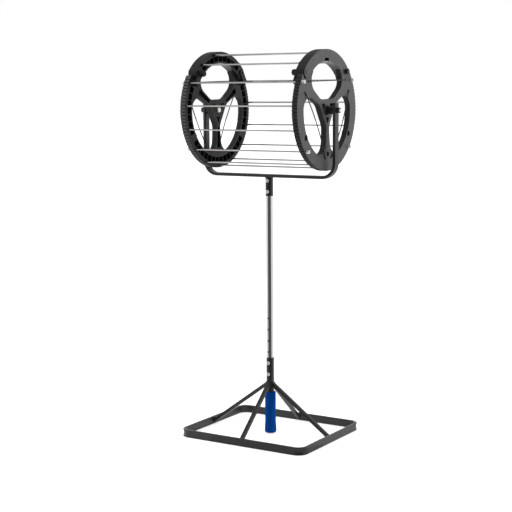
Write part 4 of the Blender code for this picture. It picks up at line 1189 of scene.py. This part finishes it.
# Lid pivots, lid sides and latches
def lid_pivots():
    """A pin through disc and lid: a flat head outside and a round knob inside the drum."""
    pin = 0.003
    knob = 0.0077
    head = 0.0074
    seat = LID_IN - 2 * PLAY - BRACKET_EYE
    inner = seat - 0.0120
    face = DISC_OUT + 0.0001
    for side, hand in SIDES:
        bm = bmesh.new()
        turned(bm, hand, [
            (inner, 0), (inner, 0.0055), (inner + 0.0002, 0.0063), (inner + 0.0008, 0.0071),
            (inner + 0.0016, 0.0076), (inner + 0.0026, knob), (seat - 0.0003, knob), (seat, 0.0074),
            (seat, pin), (face, pin), (face, head - 0.0002), (face + 0.0002, head),
            (face + 0.0004, 0.0073), (face + 0.0006, 0.0069), (face + 0.0007, 0.0062), (face + 0.0007, 0)],
            40, around(LID_MID, LID_FRONT))
        piece("lid_hinge_pin_" + side, bm, DISC_PAINTED_LIGHT_AND_SHADE, "drum", ["lid_pivot_" + side])


def lid_sides():
    """A ring segment with round ends, a slot in its outer face, ribbed pockets and bosses behind."""
    span = LID_FRONT - LID_REAR
    steps = 64
    end_steps = 24
    plain_ends = 14          # degrees without pockets, both ends together
    rib_pitch = 8.6
    pocket_inner = 0.1252
    pocket_depth = 0.012
    boss = 0.0039
    boss_bore = 0.0022
    low = LID_IN - 0.0046
    outline = [around(LID_OUTER, LID_FRONT - span * k / steps) for k in range(steps + 1)]
    outline += [end_point(LID_REAR, -1, 90 - 180 * k / end_steps, LID_END) for k in range(1, end_steps)]
    outline += [around(LID_INNER, LID_REAR + span * k / steps) for k in range(steps + 1)]
    outline += [end_point(LID_FRONT, 1, -90 + 180 * k / end_steps, LID_END) for k in range(1, end_steps)]
    holes = [circle(PIVOT_BORE, 24, around(LID_MID, LID_FRONT)),
             circle(LATCH_BORE, 24, around(LID_MID, LID_REAR))]
    slot_shape = rounded([(-0.01025, 0.1214), (0.01025, 0.1214), (0.01025, 0.1280), (-0.01025, 0.1280)],
                         0.0008, 4)
    count = int((span - plain_ends) / rib_pitch)
    back = [rib_pocket((LID_FRONT + LID_REAR) / 2 + (k - (count - 1) / 2) * rib_pitch,
                       (rib_pitch - RIB_ANGLE) / 2, pocket_inner, RIB_CIRCLE, pocket_depth)
            for k in range(count)]
    for side, hand in SIDES:
        bm = bmesh.new()
        plate(bm, "X", outline, holes, hand * LID_IN, hand * LID_OUT, 0.0004,
              [(on_disc(slot_shape, 0.0), POCKET_DEPTH)], back)
        for k in range(LID_RODS):
            turned(bm, hand, [(LID_IN + 0.001, boss), (low + 0.0004, boss), (low, boss - 0.0004),
                              (low, boss_bore), (LID_IN + 0.001, boss_bore)], 32,
                   around(ROD_CIRCLE, FIRST_LID_ROD + ROD_STEP * k), closed=True)
        piece("lid_side_" + side, bm, DISC_PAINTED_LIGHT_AND_SHADE, "lid", ["lid_arc_" + side])


def latches():
    """A pull knob with a narrow neck and a dished face, and its pin through the lid's rear end."""
    pin = 0.0025
    neck = 0.0060
    knob = 0.0075
    inner = LID_IN + 0.0001
    face = DISC_OUT + SEAT
    top = face + 0.0078
    for side, hand in SIDES:
        bm = bmesh.new()
        turned(bm, hand, [
            (inner, 0), (inner, pin), (face, pin), (face, neck - 0.0002), (face + 0.0002, neck),
            (face + 0.0020, neck), (face + 0.0027, 0.0070), (face + 0.0033, knob), (top - 0.0018, knob),
            (top - 0.0007, 0.0072), (top - 0.0001, 0.0064), (top, 0.0056), (top - 0.0006, 0.0048),
            (top - 0.0007, 0)], 48, around(LID_MID, LID_REAR))
        piece("latch_pull_" + side, bm, BLACK, "latch_" + side, ["latch_knob_" + side])


base_ring()
struts()
handle_tube()
hand_grip()
pole()
fork_socket()
screws()
fork()
axle_sets()
for side_name, side_hand in SIDES:
    disc(side_name, side_hand)
rods()
tie_nuts()
guard_wires()
lid_pivots()
lid_sides()
latches()


# Floor and light
DARK_SIDE = (0.415, -0.910, 0.0)     # level, towards the unlit end of the studio
DARK_STEPS = ((0.0, 0.84), (0.50, 0.83), (0.785, 0.77), (0.80, 0.10), (1.0, 0.085))
FLOOR_NEAR = 0.50                    # the floor's own light by the object, and far from it
FLOOR_FAR = 1.0
SKY_LEVEL = 0.42
OVERHEAD = 0.45


class Stage(NodeKit):
    """The nodes of the floor or of the world."""

    def __init__(self, tree):
        super().__init__(tree)
        self.rays = self.node("ShaderNodeLightPath").outputs
        self.coords = self.node("ShaderNodeTexCoord").outputs

    def seen(self):
        """1 for what the camera sees, also through clear matter."""
        return self.maths("MAXIMUM", self.rays["Is Camera Ray"], self.rays["Is Transmission Ray"])

    def towards(self, place):
        """The level of the studio in a direction: pale, with one dark end, and dimmer overhead."""
        even = self.vector("NORMALIZE", place)
        share = self.spread(self.vector("DOT_PRODUCT", even, DARK_SIDE, "Value"), -1.0, 1.0)
        ramp = self.node("ShaderNodeValToRGB", {0: share})
        stops = ramp.color_ramp.elements
        for k, (at, level) in enumerate(DARK_STEPS):
            stop = stops[k] if k < 2 else stops.new(at)
            stop.position = at
            stop.color = (level, level, level, 1.0)
        height = self.node("ShaderNodeSeparateXYZ", {0: even}).outputs["Z"]
        return self.maths("MULTIPLY", ramp.outputs[0], self.spread(height, 0.25, 0.85, 1.0, OVERHEAD))

    def glow(self, kind, strength):
        return self.node(kind, {"Color": (1.0, 1.0, 1.0), "Strength": strength}).outputs[0]

    def mix(self, share, one, two):
        return self.node("ShaderNodeMixShader", {0: share, 1: one, 2: two}).outputs[0]


def floor():
    """Pale, with the object's shadow; where it is mirrored it goes over to the studio's level."""
    half = 30.0
    below = -0.0004
    mesh = bpy.data.meshes.new("floor")
    corners = ((-half, -half), (half, -half), (half, half), (-half, half))
    mesh.from_pydata([(x, y, below) for x, y in corners], [], [(0, 1, 2, 3)])
    obj = linked("floor", mesh)
    mat = bpy.data.materials.new("pale floor")
    mat.use_nodes = True
    stage = Stage(mat.node_tree)
    shader = stage.tree.nodes["Principled BSDF"]
    stage.feed(shader.inputs["Base Color"], (0.80, 0.80, 0.80))
    stage.feed(shader.inputs["Roughness"], 0.9)
    place = stage.coords["Object"]
    reach = stage.vector("LENGTH", place, output="Value")
    level = stage.spread(reach, 0.5, 2.5, FLOOR_NEAR, FLOOR_FAR)
    glow = stage.glow("ShaderNodeEmission", stage.maths("MULTIPLY", level, stage.seen()))
    pale = stage.node("ShaderNodeAddShader", {0: shader.outputs[0], 1: glow})
    away = stage.maths("MULTIPLY", stage.rays["Is Glossy Ray"], stage.spread(reach, 0.30, 0.50, 0.35, 1.0))
    total = stage.mix(away, pale.outputs[0], stage.glow("ShaderNodeEmission", stage.towards(place)))
    stage.feed(stage.tree.nodes["Material Output"].inputs["Surface"], total)
    mesh.materials.append(mat)


def sky():
    """White where it is seen, pale with one dark end where it is mirrored, dim for shading."""
    world = bpy.data.worlds.new("studio")
    scene.world = world
    world.use_nodes = True
    stage = Stage(world.node_tree)
    stage.tree.nodes.remove(stage.tree.nodes["Background"])
    mirrored = stage.mix(stage.rays["Is Glossy Ray"], stage.glow("ShaderNodeBackground", SKY_LEVEL),
                         stage.glow("ShaderNodeBackground", stage.towards(stage.coords["Generated"])))
    total = stage.mix(stage.seen(), mirrored, stage.glow("ShaderNodeBackground", 1.0))
    stage.feed(stage.tree.nodes["World Output"].inputs["Surface"], total)


def lamp(name, place, aim, size, watts):
    data = bpy.data.lights.new(name, "AREA")
    data.shape = "RECTANGLE"
    data.size = size[0]
    data.size_y = size[1]
    data.energy = watts
    obj = linked(name, data)
    obj.location = place
    obj.rotation_mode = "QUATERNION"
    obj.rotation_quaternion = (Vector(aim) - Vector(place)).to_track_quat("-Z", "Y")
    obj.visible_glossy = False


floor()
sky()
lamp("side light", (2.9, 1.4, 1.7), (0.0, 0.0, 0.6), (2.0, 2.2), 80.0)
lamp("top light", (-0.3, 0.2, 3.6), (0.0, 0.0, 0.4), (2.6, 2.6), 45.0)
lamp("left light", (-1.05, -0.65, 1.0), (-0.17, -0.10, 0.85), (0.5, 0.5), 12.0)
scene.view_settings.view_transform = "Standard"
